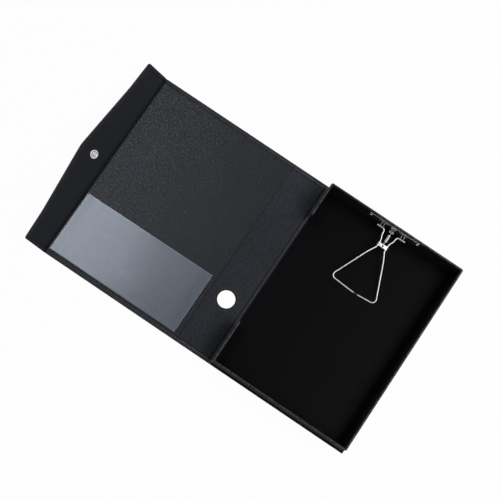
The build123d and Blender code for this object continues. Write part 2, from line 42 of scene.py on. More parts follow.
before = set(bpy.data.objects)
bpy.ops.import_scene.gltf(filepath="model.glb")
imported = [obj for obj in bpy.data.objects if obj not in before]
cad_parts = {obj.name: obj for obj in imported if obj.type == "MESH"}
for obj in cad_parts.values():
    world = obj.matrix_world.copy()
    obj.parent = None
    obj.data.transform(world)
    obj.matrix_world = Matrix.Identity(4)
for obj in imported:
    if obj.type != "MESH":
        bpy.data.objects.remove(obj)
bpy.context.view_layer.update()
MM = 0.001

# Case
HALF_HEIGHT = 160.0
COVER_PITCH = 235.0
SPINE_PITCH = 58.8
BASE_WIDTH = 235.0
FLAP_END = 40.5
FLAP_SHOULDER = 42.9
FLAP_SHOULDER_Y = 112.0
FLAP_APEX = 54.5
FLAP_APEX_ROUND = 45.0
FLAP_TILT = 40.0
CREASE = 3.0
CREASE_THICK = 1.4
FOLD_Z = 0.7
PANEL = 3.6
TURN_IN = 6.5
CORNER = 3.0
BASE_CORNER = 0.8
SNAP_REACH = 28.0

# Tray. Its lining starts at this share of the wall's thickness, sooner on the bottom wall
WALL_TOP = 55.0
WALL = 3.2
SIDE_INSET = 3.0
FORE_INSET = 2.5
RETURN_INSET = 2.8
TOP_RETURN = 57.0
BOTTOM_RETURN = 69.0
WALL_CORNER = 3.0
RIM_ROUND = 1.5
END_ROUND = 1.4
LINED = 0.8
BOTTOM_LINED = 0.5
TRAY_LINING_THICK = 0.6

# Finger hole, and the square patch of the spine that it is cut from
FINGER_HOLE = 29.0
FINGER_Y = -67.0
FINGER_OFFSET = -2.1
HOLE_WRAP = 0.95
PATCH_HALF = 20.0
PATCH_STEPS = 17

# Pocket. Its film is set off from the solid, its mouth a little askew, and stitches run
# beside both of its short sides
POCKET_FROM_FLAP = 4.7
POCKET_FROM_SPINE = 7.6
POCKET_FROM_EDGE = 10.0
POCKET_DEPTH = 101.0
FILM_INSET_LEFT = -1.4
FILM_INSET_RIGHT = 1.4
FILM_THICK = 0.3
MOUTH_LEFT = -1.8
MOUTH_RIGHT = -0.4
STITCH_OFF_LEFT = -0.9
STITCH_OFF_RIGHT = 1.4
STITCH_PITCH = 4.0
LEFT_SEAM_SHIFT = 0.7

# Spring clip, its bail as half widths and distances from the pivot
WIRE = 2.3
BAIL_END = 24.2
BAIL_WAIST = 6.9
BAIL_LENGTH = 104.0
BAIL_KINK = 4.5
BAIL_KINK_ROUND = 90.0
# Painted reflection: the stretch of the far bar darkened where it mirrors a gap between lamps
DARK_REFLECTION_FROM = 2.2
DARK_REFLECTION_TO = 10.2
SADDLE_START = 19.7
SADDLE_END = 25.3
SADDLE_MIDDLE = (SADDLE_START + SADDLE_END) / 2
SADDLE_SHEET = 0.9
SADDLE_CROWN = 0.45
SADDLE_EYE = 22.4
EYE = 1.35
TAB_Z = 27.5
LOOP_RADIUS = 1.9
COIL_RADIUS = 2.2
SPRING_WIRE = 0.8
SPRING_TURNS = 13
SPRING_PITCH = 0.9

# Places: the fore-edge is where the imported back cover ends
CREASE_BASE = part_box("base_outer_skin")[1].x / MM - BASE_WIDTH
CREASE_COVER = CREASE_BASE - SPINE_PITCH
CREASE_FLAP = CREASE_COVER - COVER_PITCH
FORE_EDGE = CREASE_BASE + BASE_WIDTH
WALL_LEFT = CREASE_BASE + RETURN_INSET
WALL_RIGHT = FORE_EDGE - FORE_INSET
WALL_Y = HALF_HEIGHT - SIDE_INSET

# The bail turns about the middle of its wire's turned-out ends, and rests on the tray's floor
bail_low, bail_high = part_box("bail_wire")
CLIP_X = (bail_low.x + bail_high.x) / 2 / MM
PIVOT_Y = bail_high.y / MM - WIRE / 2
PIVOT_Z = bail_high.z / MM - WIRE / 2
BAIL_SLOPE = asin((PIVOT_Z - bail_low.z / MM - WIRE / 2) / BAIL_LENGTH)

# Edges: the skin is rounded over the board and turned in, with a ridge and a groove beside
# the lining. FREE_SIDE lists distances from a free edge that catch them
EDGE_ROUND = 1.3
RIDGE_AT = 5.4
RIDGE = 0.28
RIDGE_HALF = 0.6
GROOVE = 0.55
GROOVE_HALF = 0.28
LINING_DROP = 0.12
FREE_SIDE = [
    0.0, 0.06, 0.2, 0.45, 0.8, 1.3, 2.4, 3.6, 4.3, 4.7, 5.0, 5.3, 5.7, 6.1,
    6.3, 6.45, 6.55, 6.65, 6.8, 7.1, 7.8, 9.5,
]
EDGE_SIDE = FREE_SIDE[:7]

# Creases: VALLEY is half the width of one, up to where a panel is at full thickness, and the flap's crease bends
# within BLEND_HALF of its fold lines
VALLEY = 2.7
VALLEY_FLAT = 0.5
VALLEY_PLACES = np.array([0.0, 0.35, 0.6, 0.8, 1.0, 1.2, 1.4, 1.6, 1.8, 2.0, 2.2, 2.45, VALLEY])
OUTER_GROOVE = 0.4
BLEND_HALF = 0.9
# Painted shadow: the flap crease's inner side takes a near-black material up to this far past its middle
FLAP_SHADOW_TO = 0.1

# Each crease's look: thickness in its valley, then the place, half width and darkness of its line of painted shade,
# and how rubbed it is to the right of that line. Without a darkness, the tray's crease takes the painted shade of the
# tray's foot.
BASE_CREASE_LOOK = (3.54, -2.6, 1.0, None, 0.3)
COVER_CREASE_LOOK = (3.56, -0.6, 0.7, 0.75, 0.0)
FLAP_CREASE_LOOK = (CREASE_THICK, -1.5, 1.9, 0.8, 0.0)

# Painted shade at the tray's foot, a dark line where shadow falls: place, half width and darkness, beside a return and
# in the gap between them, where the floor has a dark seam too
FOOT_SHADE_BESIDE = (-3.3, 1.5, 1.0)
FOOT_SHADE_GAP = (-2.9, 1.1, 0.8)
FLOOR_SEAM = 0.7
# Painted shade on the flap next to its crease, where the crease lies in shadow
FLAP_CREASE_SHADOW = 0.75

# Worn places: an edge, each ridge's crest, which is partly a painted highlight, with painted shade in the groove
# beside it, the pocket's seams, the walls' rim, partly a painted highlight too, and what share of that shows on parts
# of the walls
EDGE_WEAR = 0.9
SKIN_CREST = 0.35
SPINE_CREST, SPINE_GROOVE_SHADE = 1.3, 1.0
COVER_CREST, COVER_GROOVE_SHADE = 0.6, 0.15
FLAP_CREST = 0.15
SEAM_WEAR = 1.0
HOLE_DARK, HOLE_WEAR = -0.8, 0.15
RIM_WEAR_AND_HIGHLIGHT = 0.75
RETURN_WEAR_AND_HIGHLIGHT = 1.7
BOTTOM_WALL_WEAR = 0.2
INNER_WALL_WEAR_AND_HIGHLIGHT = 1.6
FAR_WALL_LEFT, FAR_WALL_GAIN = 0.3, 1.1
TRAY_EDGE_WEAR = 0.15
FILM_SIDE_WEAR, FILM_MOUTH_WEAR = 0.45, 0.5


# Shapes worked out on grids of points

def smooth(t):
    """Runs from 0 to 1 with no kink at either end."""
    t = np.clip(t, 0.0, 1.0)
    return t * t * (3.0 - 2.0 * t)


def hump(d, centre, half):
    """A soft hump of height 1 round a place."""
    return np.exp(-((d - centre) / half) ** 2)


def stations(low, high, near_low, near_high, step):
    """Places from low to high: at the listed distances from each end, evenly between them."""
    first = low + np.array(near_low)
    last = (high - np.array(near_high))[::-1]
    count = max(1, ceil((last[0] - first[-1]) / step))
    middle = np.linspace(first[-1], last[0], count + 1)[1:-1]
    return np.concatenate([first, middle, last])


def rounded(d, radius):
    """How far a rounded edge falls back, by the distance from the edge."""
    inside = np.clip(radius - d, 0.0, radius)
    return radius - np.sqrt(radius ** 2 - inside ** 2)


def inner_face(d):
    """Height of a panel's inner side over the distance from its free edge."""
    ridge = RIDGE * hump(d, RIDGE_AT, RIDGE_HALF)
    groove = GROOVE * hump(d, TURN_IN, GROOVE_HALF)
    lining = LINING_DROP * smooth((d - TURN_IN) / 0.6)
    return PANEL - rounded(d, EDGE_ROUND) + ridge - groove - lining


def swell(x, y, amount, seed):
    """The slight unevenness of glued leatherette."""
    waves = ((0.021, 0.013), (0.034, -0.027), (-0.017, 0.045), (0.062, 0.031))
    total = 0.0
    for k, (a, b) in enumerate(waves):
        total = total + np.sin(a * x + b * y + seed * (k + 1.7))
    return amount * total / len(waves)


def edge_distance(from_side, from_end, corner):
    """Distance from the outline of a sheet whose free corners are rounded."""
    near = (from_side < corner) & (from_end < corner)
    across = corner - np.hypot(corner - from_side, corner - from_end)
    return np.maximum(np.where(near, across, np.minimum(from_side, from_end)), 0.0)


def fold(points, x, z, degrees):
    """Points turned about the line along Y through x, z, so that what lies left of it rises."""
    angle = np.radians(degrees)
    dx = points[..., 0] - x
    dz = points[..., 2] - z
    turned = points.copy()
    turned[..., 0] = x + dx * np.cos(angle) + dz * np.sin(angle)
    turned[..., 2] = z - dx * np.sin(angle) + dz * np.cos(angle)
    return turned


def raise_flap(points):
    """From the flap lying flat to the flap folded up about its two fold lines."""
    near_cover = CREASE_FLAP + CREASE / 2
    once = fold(points, near_cover - CREASE, FOLD_Z, FLAP_TILT / 2)
    return fold(once, near_cover, FOLD_Z, FLAP_TILT / 2)


# Meshes

def add_object(name, data):
    """An object made of the given data, in the scene."""
    new = bpy.data.objects.new(name, data)
    bpy.context.scene.collection.objects.link(new)
    return new


def add_piece(name, points, faces, materials, body, slot, replaced=(), wear_and_painted_light=None, regions=None):
    """A mesh from millimetre points, smooth but for its sharp edges, that rides on a body.

    The worn places and painted light and shade given for the upper side of a sheet are taken for its lower side too.
    """
    mesh = bpy.data.meshes.new(name)
    places = np.asarray(points, float).reshape(-1, 3) * MM
    mesh.from_pydata(places.tolist(), [], [tuple(int(i) for i in f) for f in faces])
    for material in materials:
        mesh.materials.append(material)
    if regions is not None:
        mesh.polygons.foreach_set("material_index", [int(r) for r in regions])
    if wear_and_painted_light is not None:
        attribute = mesh.attributes.new("wear_and_painted_light", "FLOAT", "POINT")
        attribute.data.foreach_set("value", np.resize(np.asarray(wear_and_painted_light, np.float32), len(places)))
    mesh.shade_smooth()
    mesh.set_sharp_from_angle(angle=radians(40))
    mesh.update()
    piece = add_object(name, mesh)
    if body:
        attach(piece, body)
    if replaced:
        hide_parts(*replaced)
    return piece


def numbered(n, m, first=0):
    """The points' numbers in a grid of n by m, which run along the second index fastest."""
    return first + np.arange(n * m).reshape(n, m)


def grid_faces(at):
    """Quads of a grid of numbered points."""
    return np.stack([at[:-1, :-1], at[1:, :-1], at[1:, 1:], at[:-1, 1:]], axis=-1).reshape(-1, 4)


def border(at):
    """The numbers round the edge of a grid, in order."""
    return np.concatenate([at[:-1, 0], at[-1, :-1], at[:0:-1, -1], at[0, :0:-1]])


def sheet(across, along, top, bottom):
    """Points and faces of a closed sheet between two surfaces over one grid."""
    points = [np.stack(np.broadcast_arrays(across, along, z), axis=-1) for z in (top, bottom)]
    at = numbered(*across.shape)
    loop = border(at)
    following = np.roll(loop, -1)
    sides = np.stack([loop + at.size, following + at.size, following, loop], axis=-1)
    faces = np.vstack([grid_faces(at), grid_faces(at + at.size)[:, ::-1], sides])
    return np.array(points).reshape(-1, 3), faces


def ring_faces(rings, sides, closed=False, flip=False):
    """Faces of a bar made of rings of points: capped, or closed from the last ring to the first."""
    here = numbered(rings, sides)
    caps = [] if closed else [here[0, ::-1], here[-1]]
    if closed:
        here = np.vstack([here, here[:1]])
    after = np.roll(here, -1, axis=1)
    quads = np.stack([here[:-1], after[:-1], after[1:], here[1:]], axis=-1).reshape(-1, 4)
    return [f[::-1] if flip else f for f in [*quads, *caps]]


def joined(shells):
    """One array of points and one list of faces from several shells, each a pair of its own."""
    faces, first = [], 0
    for points, shell_faces in shells:
        faces += [np.array(f) + first for f in shell_faces]
        first += len(points)
    return np.vstack([points for points, _ in shells]), faces


def unit(ways):
    """The same directions at length 1."""
    return ways / np.linalg.norm(ways, axis=-1, keepdims=True)


def circle(count):
    """Angles all round."""
    return np.linspace(0.0, 2 * pi, count, endpoint=False)


# Materials. A value is a number, a colour or another node's socket

def feed(tree, value, socket):
    if isinstance(value, bpy.types.NodeSocket):
        tree.links.new(value, socket)
    elif isinstance(value, (int, float)):
        socket.default_value = value
    else:
        socket.default_value = (*value, 1.0)


def add_node(tree, kind, **values):
    """A node with the given settings and inputs."""
    node = tree.nodes.new("ShaderNode" + kind)
    for key, value in values.items():
        if key in node.inputs:
            feed(tree, value, node.inputs[key])
        else:
            setattr(node, key, value)
    return node


def start_material(name):
    """A material, its tree and the places on the object."""
    material = bpy.data.materials.new(name)
    material.use_nodes = True
    place = add_node(material.node_tree, "TexCoord").outputs["Object"]
    return material, material.node_tree, place


def dress(material, colour, roughness, specular=0.5, height=None, relief=0.0, strength=1.0, **others):
    """Gives a material its looks, and raises its surface by a height, relief in millimetres."""
    tree = material.node_tree
    values = {"Base Color": colour, "Roughness": roughness, "Specular IOR Level": specular, **others}
    if height is not None:
        raised = add_node(tree, "Bump", Strength=strength, Distance=relief * MM, Height=height)
        values["Normal"] = raised.outputs["Normal"]
    for key, value in values.items():
        feed(tree, value, tree.nodes["Principled BSDF"].inputs[key])
    return material


def maths(tree, operation, *values, kind="Math"):
    node = add_node(tree, kind, operation=operation)
    for socket, value in zip(node.inputs, values):
        feed(tree, value, socket)
    return node.outputs[0]


def linear(tree, value, factor, offset):
    """A value times a factor, plus an offset."""
    return maths(tree, "MULTIPLY_ADD", value, factor, offset)


def mix(tree, factor, first, second):
    """A colour between two, by a factor."""
    node = add_node(tree, "Mix", data_type="RGBA")
    for index, value in ((0, factor), (6, first), (7, second)):
        feed(tree, value, node.inputs[index])
    return node.outputs[2]


def ramp(tree, value, low, high):
    """A value spread from 0 at low to 1 at high."""
    limits = {"From Min": low, "From Max": high}
    node = add_node(tree, "MapRange", interpolation_type="SMOOTHSTEP", Value=value, **limits)
    return node.outputs["Result"]


def noise(tree, place, size, detail=3.0, rough=0.55):
    """Noise of the given grain size in millimetres."""
    scale = 1.0 / (size * MM)
    node = add_node(tree, "TexNoise", Scale=scale, Detail=detail, Roughness=rough, Vector=place)
    return node.outputs["Fac"]


def wear_and_painted_light_of(tree):
    return add_node(tree, "Attribute", attribute_name="wear_and_painted_light").outputs["Fac"]


def times(colour, factor):
    return [c * factor for c in colour]


def pebbles(tree, place, size):
    """Distance from the nearest pebble's middle, and from the furrows between pebbles."""
    warp = add_node(tree, "TexNoise", Scale=1.0 / (2.5 * size * MM), Detail=2.0, Vector=place)
    shift = add_node(tree, "VectorMath", operation="SCALE", Scale=1.1 * size * MM,
                     Vector=warp.outputs["Color"])
    moved = maths(tree, "ADD", place, shift.outputs[0], kind="VectorMath")
    return [add_node(tree, "TexVoronoi", feature=feature, Scale=1.0 / (size * MM),
                     Vector=moved).outputs["Distance"] for feature in ("F1", "DISTANCE_TO_EDGE")]


def leatherette(name, colour, worn, grain, relief, roughness, specular, mottle,
                furrows=0.55, painted_glints=0.0, lift=0.0):
    """Embossed plastic leather: pebbles with furrows, mottling, paler worn edges, and painted shade, where the
    attribute is below zero, that darkens creases and grooves.

    Furrows is their share of the colour. The painted glints, speck contrast that stands in for the left lamp's glints
    on the grain, grow from the spine to the flap, and lift paints the far end paler, as painted light.
    """
    material, tree, place = start_material(name)
    middle, furrow = pebbles(tree, place, grain)
    raised = ramp(tree, furrow, 0.0, 0.32)
    fine = noise(tree, place, grain * 0.22, 4.0, 0.6)
    shade = linear(tree, noise(tree, place, grain * 2.6, 2.0), 2.0 * mottle, 1.0 - mottle)
    shade = maths(tree, "MULTIPLY", shade, linear(tree, noise(tree, place, 60.0, 2.0), 0.3, 0.85))
    parts = add_node(tree, "SeparateXYZ", Vector=place)
    # Painted light: the far end is made paler, as if lit from there
    if lift:
        paler = linear(tree, ramp(tree, parts.outputs["Y"], 0.05, 0.15), lift, 1.0)
        shade = maths(tree, "MULTIPLY", shade, paler)
    # Painted glints: speck contrast, strongest towards the flap, for the left lamp's glints on the grain
    if painted_glints:
        fade = linear(tree, ramp(tree, parts.outputs["X"], -0.06, -0.2), 0.9, 0.1)
        glint_dots = maths(tree, "SUBTRACT", noise(tree, place, 3.2, 1.0), 0.5)
        glint_dots = linear(tree, maths(tree, "MULTIPLY", glint_dots, fade), 2.0 * painted_glints, 1.0)
        shade = maths(tree, "MULTIPLY", shade, maths(tree, "MAXIMUM", glint_dots, 0.1))
    dark = mix(tree, raised, times(colour, furrows), colour)
    tinted = add_node(tree, "VectorMath", operation="SCALE", Vector=dark, Scale=shade).outputs[0]
    rub = wear_and_painted_light_of(tree)
    # Painted shade: below zero the attribute darkens the colour towards near black
    painted_shade_colour = mix(tree, ramp(tree, rub, 0.0, -1.0), tinted, times(colour, 0.08))
    patches = ramp(tree, noise(tree, place, 3.0, 4.0), 0.25, 0.7)
    scuffs = maths(tree, "MULTIPLY", ramp(tree, rub, 0.0, 1.0), patches)
    gloss = linear(tree, raised, -0.1, linear(tree, fine, 0.16, roughness + 0.02))
    height = linear(tree, fine, 0.35, linear(tree, middle, -0.5, raised))
    return dress(material, mix(tree, scuffs, painted_shade_colour, worn), gloss, specular, height, relief)


def metal(name, colour, roughness, brushed):
    """Plated metal with faint drawing lines, slightly uneven gloss, and dark places where the attribute is set, a
    painted reflection.
    """
    material, tree, place = start_material(name)
    patches = noise(tree, place, 4.0)
    plated = mix(tree, patches, times(colour, 0.88), colour)
    # Painted reflection: darker where the attribute is set
    shown = mix(tree, wear_and_painted_light_of(tree), plated, times(colour, 0.09))
    gloss = linear(tree, patches, 0.14, roughness - 0.07)
    lines = noise(tree, place, 0.25, 2.0)
    return dress(material, shown, gloss, height=lines, relief=brushed, strength=0.5, Metallic=1.0)


def clear_film(name, colour, opacity, roughness):
    """Milky vinyl film: partly see-through, softly glossy, with a fine haze."""
    material, tree, place = start_material(name)
    haze = noise(tree, place, 9.0)
    uneven = linear(tree, haze, 0.4, maths(tree, "MULTIPLY", noise(tree, place, 2.6, 2.0), 0.6))
    cloudy = mix(tree, uneven, times(colour, 0.82), times(colour, 1.15))
    rub = wear_and_painted_light_of(tree)
    shown = mix(tree, rub, cloudy, times(colour, 3.4))
    milky = linear(tree, rub, 0.1, linear(tree, haze, 0.05, opacity - 0.025))
    gloss = linear(tree, noise(tree, place, 5.0), 0.03, roughness - 0.015)
    return dress(material, shown, gloss, 1.0, Alpha=milky)


def plain_fibre(name, colour, grain, roughness, specular=0.3):
    """Board or thread: a matt surface with short fibres in it."""
    material, tree, place = start_material(name)
    fibres = noise(tree, place, grain, 5.0, 0.7)
    shown = mix(tree, fibres, times(colour, 0.7), colour)
    return dress(material, shown, roughness, specular, fibres, 0.05, 0.6)


SKIN = leatherette("grained_skin", (0.019, 0.0197, 0.0245), (0.11, 0.11, 0.113), 2.0, 0.2, 0.42, 0.28, 0.35)
# The lining's glints towards the flap and its paler far end are painted light
LINING = leatherette("grained_lining", (0.0127, 0.0135, 0.0174), (0.09, 0.09, 0.095),
                     4.2, 0.06, 0.27, 0.258, 0.3, furrows=0.62, painted_glints=5.0, lift=0.08)
# The spine lining's paler far end is painted light
SPINE_LINING = leatherette("spine_lining_leather", (0.0283, 0.0292, 0.0365), (0.13, 0.13, 0.135),
                           3.0, 0.1, 0.35, 0.13, 0.25, furrows=0.5, lift=0.45)
# Painted shadow: a near-black leatherette for the flap's crease, where it lies in shade
CREASE_SHADOW_BLACK = leatherette("flap_crease_painted_shadow", (0.004, 0.004, 0.005), (0.09, 0.09, 0.095),
                           2.0, 0.05, 0.6, 0.05, 0.2)
WALL_SKIN = leatherette("wall_skin", (0.0095, 0.0098, 0.0112), (0.095, 0.095, 0.098), 2.0, 0.12, 0.65, 0.08, 0.3)
FLAP_LINING = leatherette("flap_lining", (0.0147, 0.0155, 0.0195), (0.05, 0.05, 0.055), 1.2, 0.06, 0.5, 0.12, 0.15)
FLAP_SKIN = leatherette("flap_skin", (0.015, 0.0155, 0.0195), (0.07, 0.07, 0.073), 2.0, 0.12, 0.45, 0.15, 0.3)
TRAY_LINING = leatherette("tray_lining", (0.0032, 0.0032, 0.0037), (0.05, 0.05, 0.053), 0.9, 0.02, 0.3, 0.035, 0.15)
# Painted light: a paler copy of the tray's black lining for the walls, for the light they catch
LIT_WALL_LINING = leatherette("wall_lining", (0.02, 0.02, 0.0205), (0.06, 0.06, 0.063), 0.9, 0.02, 0.4, 0.05, 0.15)
BOARD = plain_fibre("grey_board", (0.33, 0.32, 0.29), 0.8, 0.9)
THREAD = plain_fibre("black_thread", (0.003, 0.003, 0.0034), 0.25, 0.9, 0.03)
FILM = clear_film("milky_film", (0.124, 0.139, 0.168), 0.88, 0.205)
PLATE_STEEL = metal("plate_steel", (0.7, 0.69, 0.66), 0.25, 0.004)
WIRE_STEEL = metal("wire_steel", (0.8, 0.79, 0.77), 0.34, 0.003)
PRESSED = metal("pressed_steel", (0.93, 0.93, 0.92), 0.4, 0.006)
SNAP = metal("snap_nickel", (0.6, 0.59, 0.56), 0.26, 0.006)


# Panels

def panel_ends(y):
    """Distance of each place along the spine from the nearer end of the case."""
    return HALF_HEIGHT - np.abs(y)


def end_stations(step):
    return stations(-HALF_HEIGHT, HALF_HEIGHT, FREE_SIDE, FREE_SIDE, step)


def unevenness(across, along, amount, seed, fade):
    """Swell that fades towards the sides and the ends of a panel."""
    sides = smooth(np.minimum(across - across.min(), across.max() - across) / fade)
    return swell(across, along, amount, seed) * sides * smooth((panel_ends(along) - 8.0) / 25.0)


def edge_wear_and_shade(d, crest=SKIN_CREST, groove_shade=0.0):
    """Rubbed places, the rounded edge and the crest of the ridge, the crest partly a painted highlight, and painted
    shade in the groove.
    """
    ridge = crest * hump(d, RIDGE_AT, RIDGE_HALF)
    return EDGE_WEAR * smooth(1.0 - d / 1.2) + ridge - groove_shade * hump(d, TURN_IN + 0.7, 0.6)


def lining_regions(points, faces):
    """1 for the faces of the inner side that lie within the turned-in edge, else 0."""
    middles = points[faces].mean(axis=1)
    inside = np.abs(middles[:, 1]) < HALF_HEIGHT - TURN_IN
    return (inside & (middles[:, 2] > PANEL / 2)).astype(int)


def build_cover():
    """The front cover: skin with turned-in ends, lining between them."""
    left_seam = POCKET_FROM_FLAP - VALLEY - LEFT_SEAM_SHIFT
    right_seam = POCKET_FROM_SPINE - VALLEY
    near_left = [0.0, 0.3, 0.8, 1.3, 1.8, 2.4, 3.1]
    near_right = [0.0, 1.6] + [right_seam + s for s in (-1.6, -1.1, -0.6, 0.0, 0.6, 1.1, 1.6)]
    x = stations(CREASE_FLAP + VALLEY, CREASE_COVER - VALLEY, near_left, near_right, 7.0)
    across, along = np.meshgrid(x, end_stations(7.0), indexing="ij")
    d = panel_ends(along)
    pocket_end = -HALF_HEIGHT + POCKET_FROM_EDGE + POCKET_DEPTH
    free = 0.1 + 0.9 * smooth((along - pocket_end) / 25.0)
    top = inner_face(d) + unevenness(across, along, 0.22, 1.0, 25.0) * free
    points, faces = sheet(across, along, top, rounded(d, EDGE_ROUND))
    from_seam = np.minimum(np.abs(across - x[0] - left_seam), np.abs(x[-1] - right_seam - across))
    beside = (along > -HALF_HEIGHT + POCKET_FROM_EDGE) & (along < pocket_end)
    seams = SEAM_WEAR * hump(from_seam, 0.0, 1.2) * beside
    wear_and_painted_light = np.stack([edge_wear_and_shade(d, COVER_CREST, COVER_GROOVE_SHADE) + seams, edge_wear_and_shade(d)])
    add_piece("cover_leather", points, faces, [SKIN, LINING], "cover", "grained_leatherette",
              ["cover_outer_skin", "cover_lining"], wear_and_painted_light, lining_regions(points, faces))


def build_spine():
    """The spine panel, whose skin runs through the finger hole."""
    hole = np.array([(CREASE_COVER + CREASE_BASE) / 2 + FINGER_OFFSET, FINGER_Y])
    patch_x, patch_y = [np.linspace(c - PATCH_HALF, c + PATCH_HALF, PATCH_STEPS) for c in hole]
    left = np.linspace(CREASE_COVER + VALLEY, patch_x[0], 3)[:-1]
    right = CREASE_BASE - VALLEY - np.array([3.5, 2.5, 1.8, 1.2, 0.6, 0.0])
    low = stations(-HALF_HEIGHT, patch_y[0], FREE_SIDE, [0.0], 6.0)[:-1]
    high = stations(patch_y[-1], HALF_HEIGHT, [0.0], FREE_SIDE, 6.0)[1:]
    x, y = np.concatenate([left, patch_x, right]), np.concatenate([low, patch_y, high])
    across, along = np.meshgrid(x, y, indexing="ij")
    d = panel_ends(along)
    top = inner_face(d) + unevenness(across, along, 0.15, 2.3, 12.0)
    panel, quads = sheet(across, along, top, rounded(d, EDGE_ROUND))
    # Painted shade from the tray's foot reaches onto the spine beside the base crease
    painted_shade = painted_foot_shade(across - CREASE_BASE, along)
    spine_wear_and_shade = edge_wear_and_shade(d, SPINE_CREST, SPINE_GROOVE_SHADE) * (1.0 - painted_shade) - painted_shade
    # The patch is left out above and below
    rows, columns = slice(len(left), len(left) + PATCH_STEPS), slice(len(low), len(low) + PATCH_STEPS)
    keep = np.ones((len(x) - 1, len(y) - 1), bool)
    keep[rows.start:rows.stop - 1, columns.start:columns.stop - 1] = False
    kept = np.concatenate([keep.ravel(), keep.ravel(), np.ones(len(quads) - 2 * keep.size, bool)])
    # Rings round the hole, from its rim out to the edge of the patch
    rim = border(numbered(len(x), len(y))[rows, columns])
    way = unit(panel[rim][:, :2] - hole)
    reach = np.array([0.0, 0.08, 0.3, 0.65, 1.1, 1.6, 2.2, 3.5])
    drop = rounded(reach, 0.9)
    rings, total = len(reach), len(rim)
    points, faces, wear_and_painted_light = [panel], [quads[kept]], [spine_wear_and_shade.ravel(), edge_wear_and_shade(d).ravel()]
    for face, heights in enumerate((PANEL - LINING_DROP - drop, drop)):
        for r, height in zip(reach, heights):
            places = hole + way * (FINGER_HOLE / 2 - HOLE_WRAP + r)
            points.append(np.column_stack([places, np.full(total, height)]))
            wear_and_painted_light.append(np.full(total, HOLE_DARK if r < 1.7 else HOLE_WEAR))
        at = np.vstack([numbered(rings, total, len(panel) + face * rings * total), rim + face * d.size])
        quads = grid_faces(np.hstack([at, at[:, :1]]))
        faces.append(quads[:, ::-1] if face else quads)
    upper = len(panel) + np.arange(total)
    lower = upper + rings * total
    faces.append(np.stack([np.roll(upper, -1), np.roll(lower, -1), lower, upper], axis=-1))
    points, faces = np.vstack(points), np.vstack(faces)
    add_piece("spine_leather", points, faces, [SKIN, SPINE_LINING], "spine", "grained_leatherette",
              ["spine_outer_skin", "spine_lining"], np.concatenate(wear_and_painted_light), lining_regions(points, faces))


def build_base():
    """The back cover: its inner side shows only round the outside of the tray walls."""
    x = stations(CREASE_BASE + VALLEY, FORE_EDGE, [0.0], EDGE_SIDE, 8.0)
    y = stations(-HALF_HEIGHT, HALF_HEIGHT, EDGE_SIDE, EDGE_SIDE, 8.0)
    across, along = np.meshgrid(x, y, indexing="ij")
    ends = panel_ends(along)
    across = x[0] + (across - x[0]) * (x[-1] - rounded(ends, BASE_CORNER) - x[0]) / (x[-1] - x[0])
    d = edge_distance(FORE_EDGE - across, ends, BASE_CORNER)
    inside = (across > WALL_LEFT + 1.0) & (across < WALL_RIGHT - 1.0) & (np.abs(along) < WALL_Y - 1.0)
    top = PANEL - rounded(d, EDGE_ROUND) - 0.5 * inside
    points, faces = sheet(across, along, top, rounded(d, EDGE_ROUND))
    flange = points[faces].mean(axis=1)[:, 2] > PANEL / 2
    add_piece("base_leather", points, faces, [SKIN, WALL_SKIN], "base", "grained_leatherette",
              ["base_outer_skin"], edge_wear_and_shade(d), flange)


def flap_width(y):
    """Width of the flap from its crease to its free edge, with a blunt point in the middle."""
    slope = (FLAP_APEX - FLAP_SHOULDER) / FLAP_SHOULDER_Y
    bend = atan(slope)
    tip = FLAP_APEX - FLAP_APEX_ROUND * (1 / cos(bend) - 1)
    a = np.abs(y)
    outer = (FLAP_SHOULDER - FLAP_END) / (HALF_HEIGHT - FLAP_SHOULDER_Y)
    width = np.where(a > FLAP_SHOULDER_Y, FLAP_SHOULDER - outer * (a - FLAP_SHOULDER_Y), FLAP_APEX - slope * a)
    blunt = tip - (FLAP_APEX_ROUND - np.sqrt(FLAP_APEX_ROUND ** 2 - np.minimum(a, 40.0) ** 2))
    return np.where(a < FLAP_APEX_ROUND * sin(bend), blunt, width)


def build_flap():
    """The closing flap, made flat and folded up."""
    y = end_stations(5.0)
    edge = np.array(FREE_SIDE)[::-1]
    width = (flap_width(y) - rounded(panel_ends(y), CORNER))[:, None]
    body = VALLEY + (width - edge[0] - VALLEY) * stations(0.0, 1.0, [0.0], [0.0], 0.2)
    reach = np.hstack([body, width - edge[1:]])[:, ::-1].T
    across = CREASE_FLAP - reach
    along = np.broadcast_to(y, across.shape)
    d = edge_distance(flap_width(along) - reach, panel_ends(along), CORNER)
    middle = smooth((reach - VALLEY) / 12.0) * smooth((d - 8.0) / 10.0)
    top = inner_face(d) + swell(across, along, 0.25, 4.1) * middle
    flat, faces = sheet(across, along, top, rounded(d, EDGE_ROUND))
    inside = np.concatenate([(d > TURN_IN).ravel(), np.zeros(d.size, bool)])
    # Painted shade on the flap beside its crease
    shade = FLAP_CREASE_SHADOW * hump(reach, VALLEY, 2.2)
    wear_and_painted_light = edge_wear_and_shade(d, FLAP_CREST) * (1.0 - shade) - shade
    add_piece("flap_leather", raise_flap(flat), faces, [FLAP_SKIN, FLAP_LINING], "flap", "grained_leatherette",
              ["flap_outer_skin", "flap_lining"], wear_and_painted_light, inside[faces].all(axis=1))


# Creases

def beside_returns(y):
    """Where a return stands along the tray's open side."""
    return (y > WALL_Y - TOP_RETURN) | (y < -WALL_Y + BOTTOM_RETURN)


def painted_foot_shade(u, y):
    """Painted shade, the dark line in the tray's crease, broader beside the returns, and the floor's dark seam."""
    beside = beside_returns(y)
    line, width, darkness = [np.where(beside, a, b) for a, b in zip(FOOT_SHADE_BESIDE, FOOT_SHADE_GAP)]
    seam = np.where(beside, 0.0, FLOOR_SEAM * smooth((u - 1.2) / 0.8))
    return np.maximum(darkness * np.exp(-((u - line) / width) ** 4), seam)


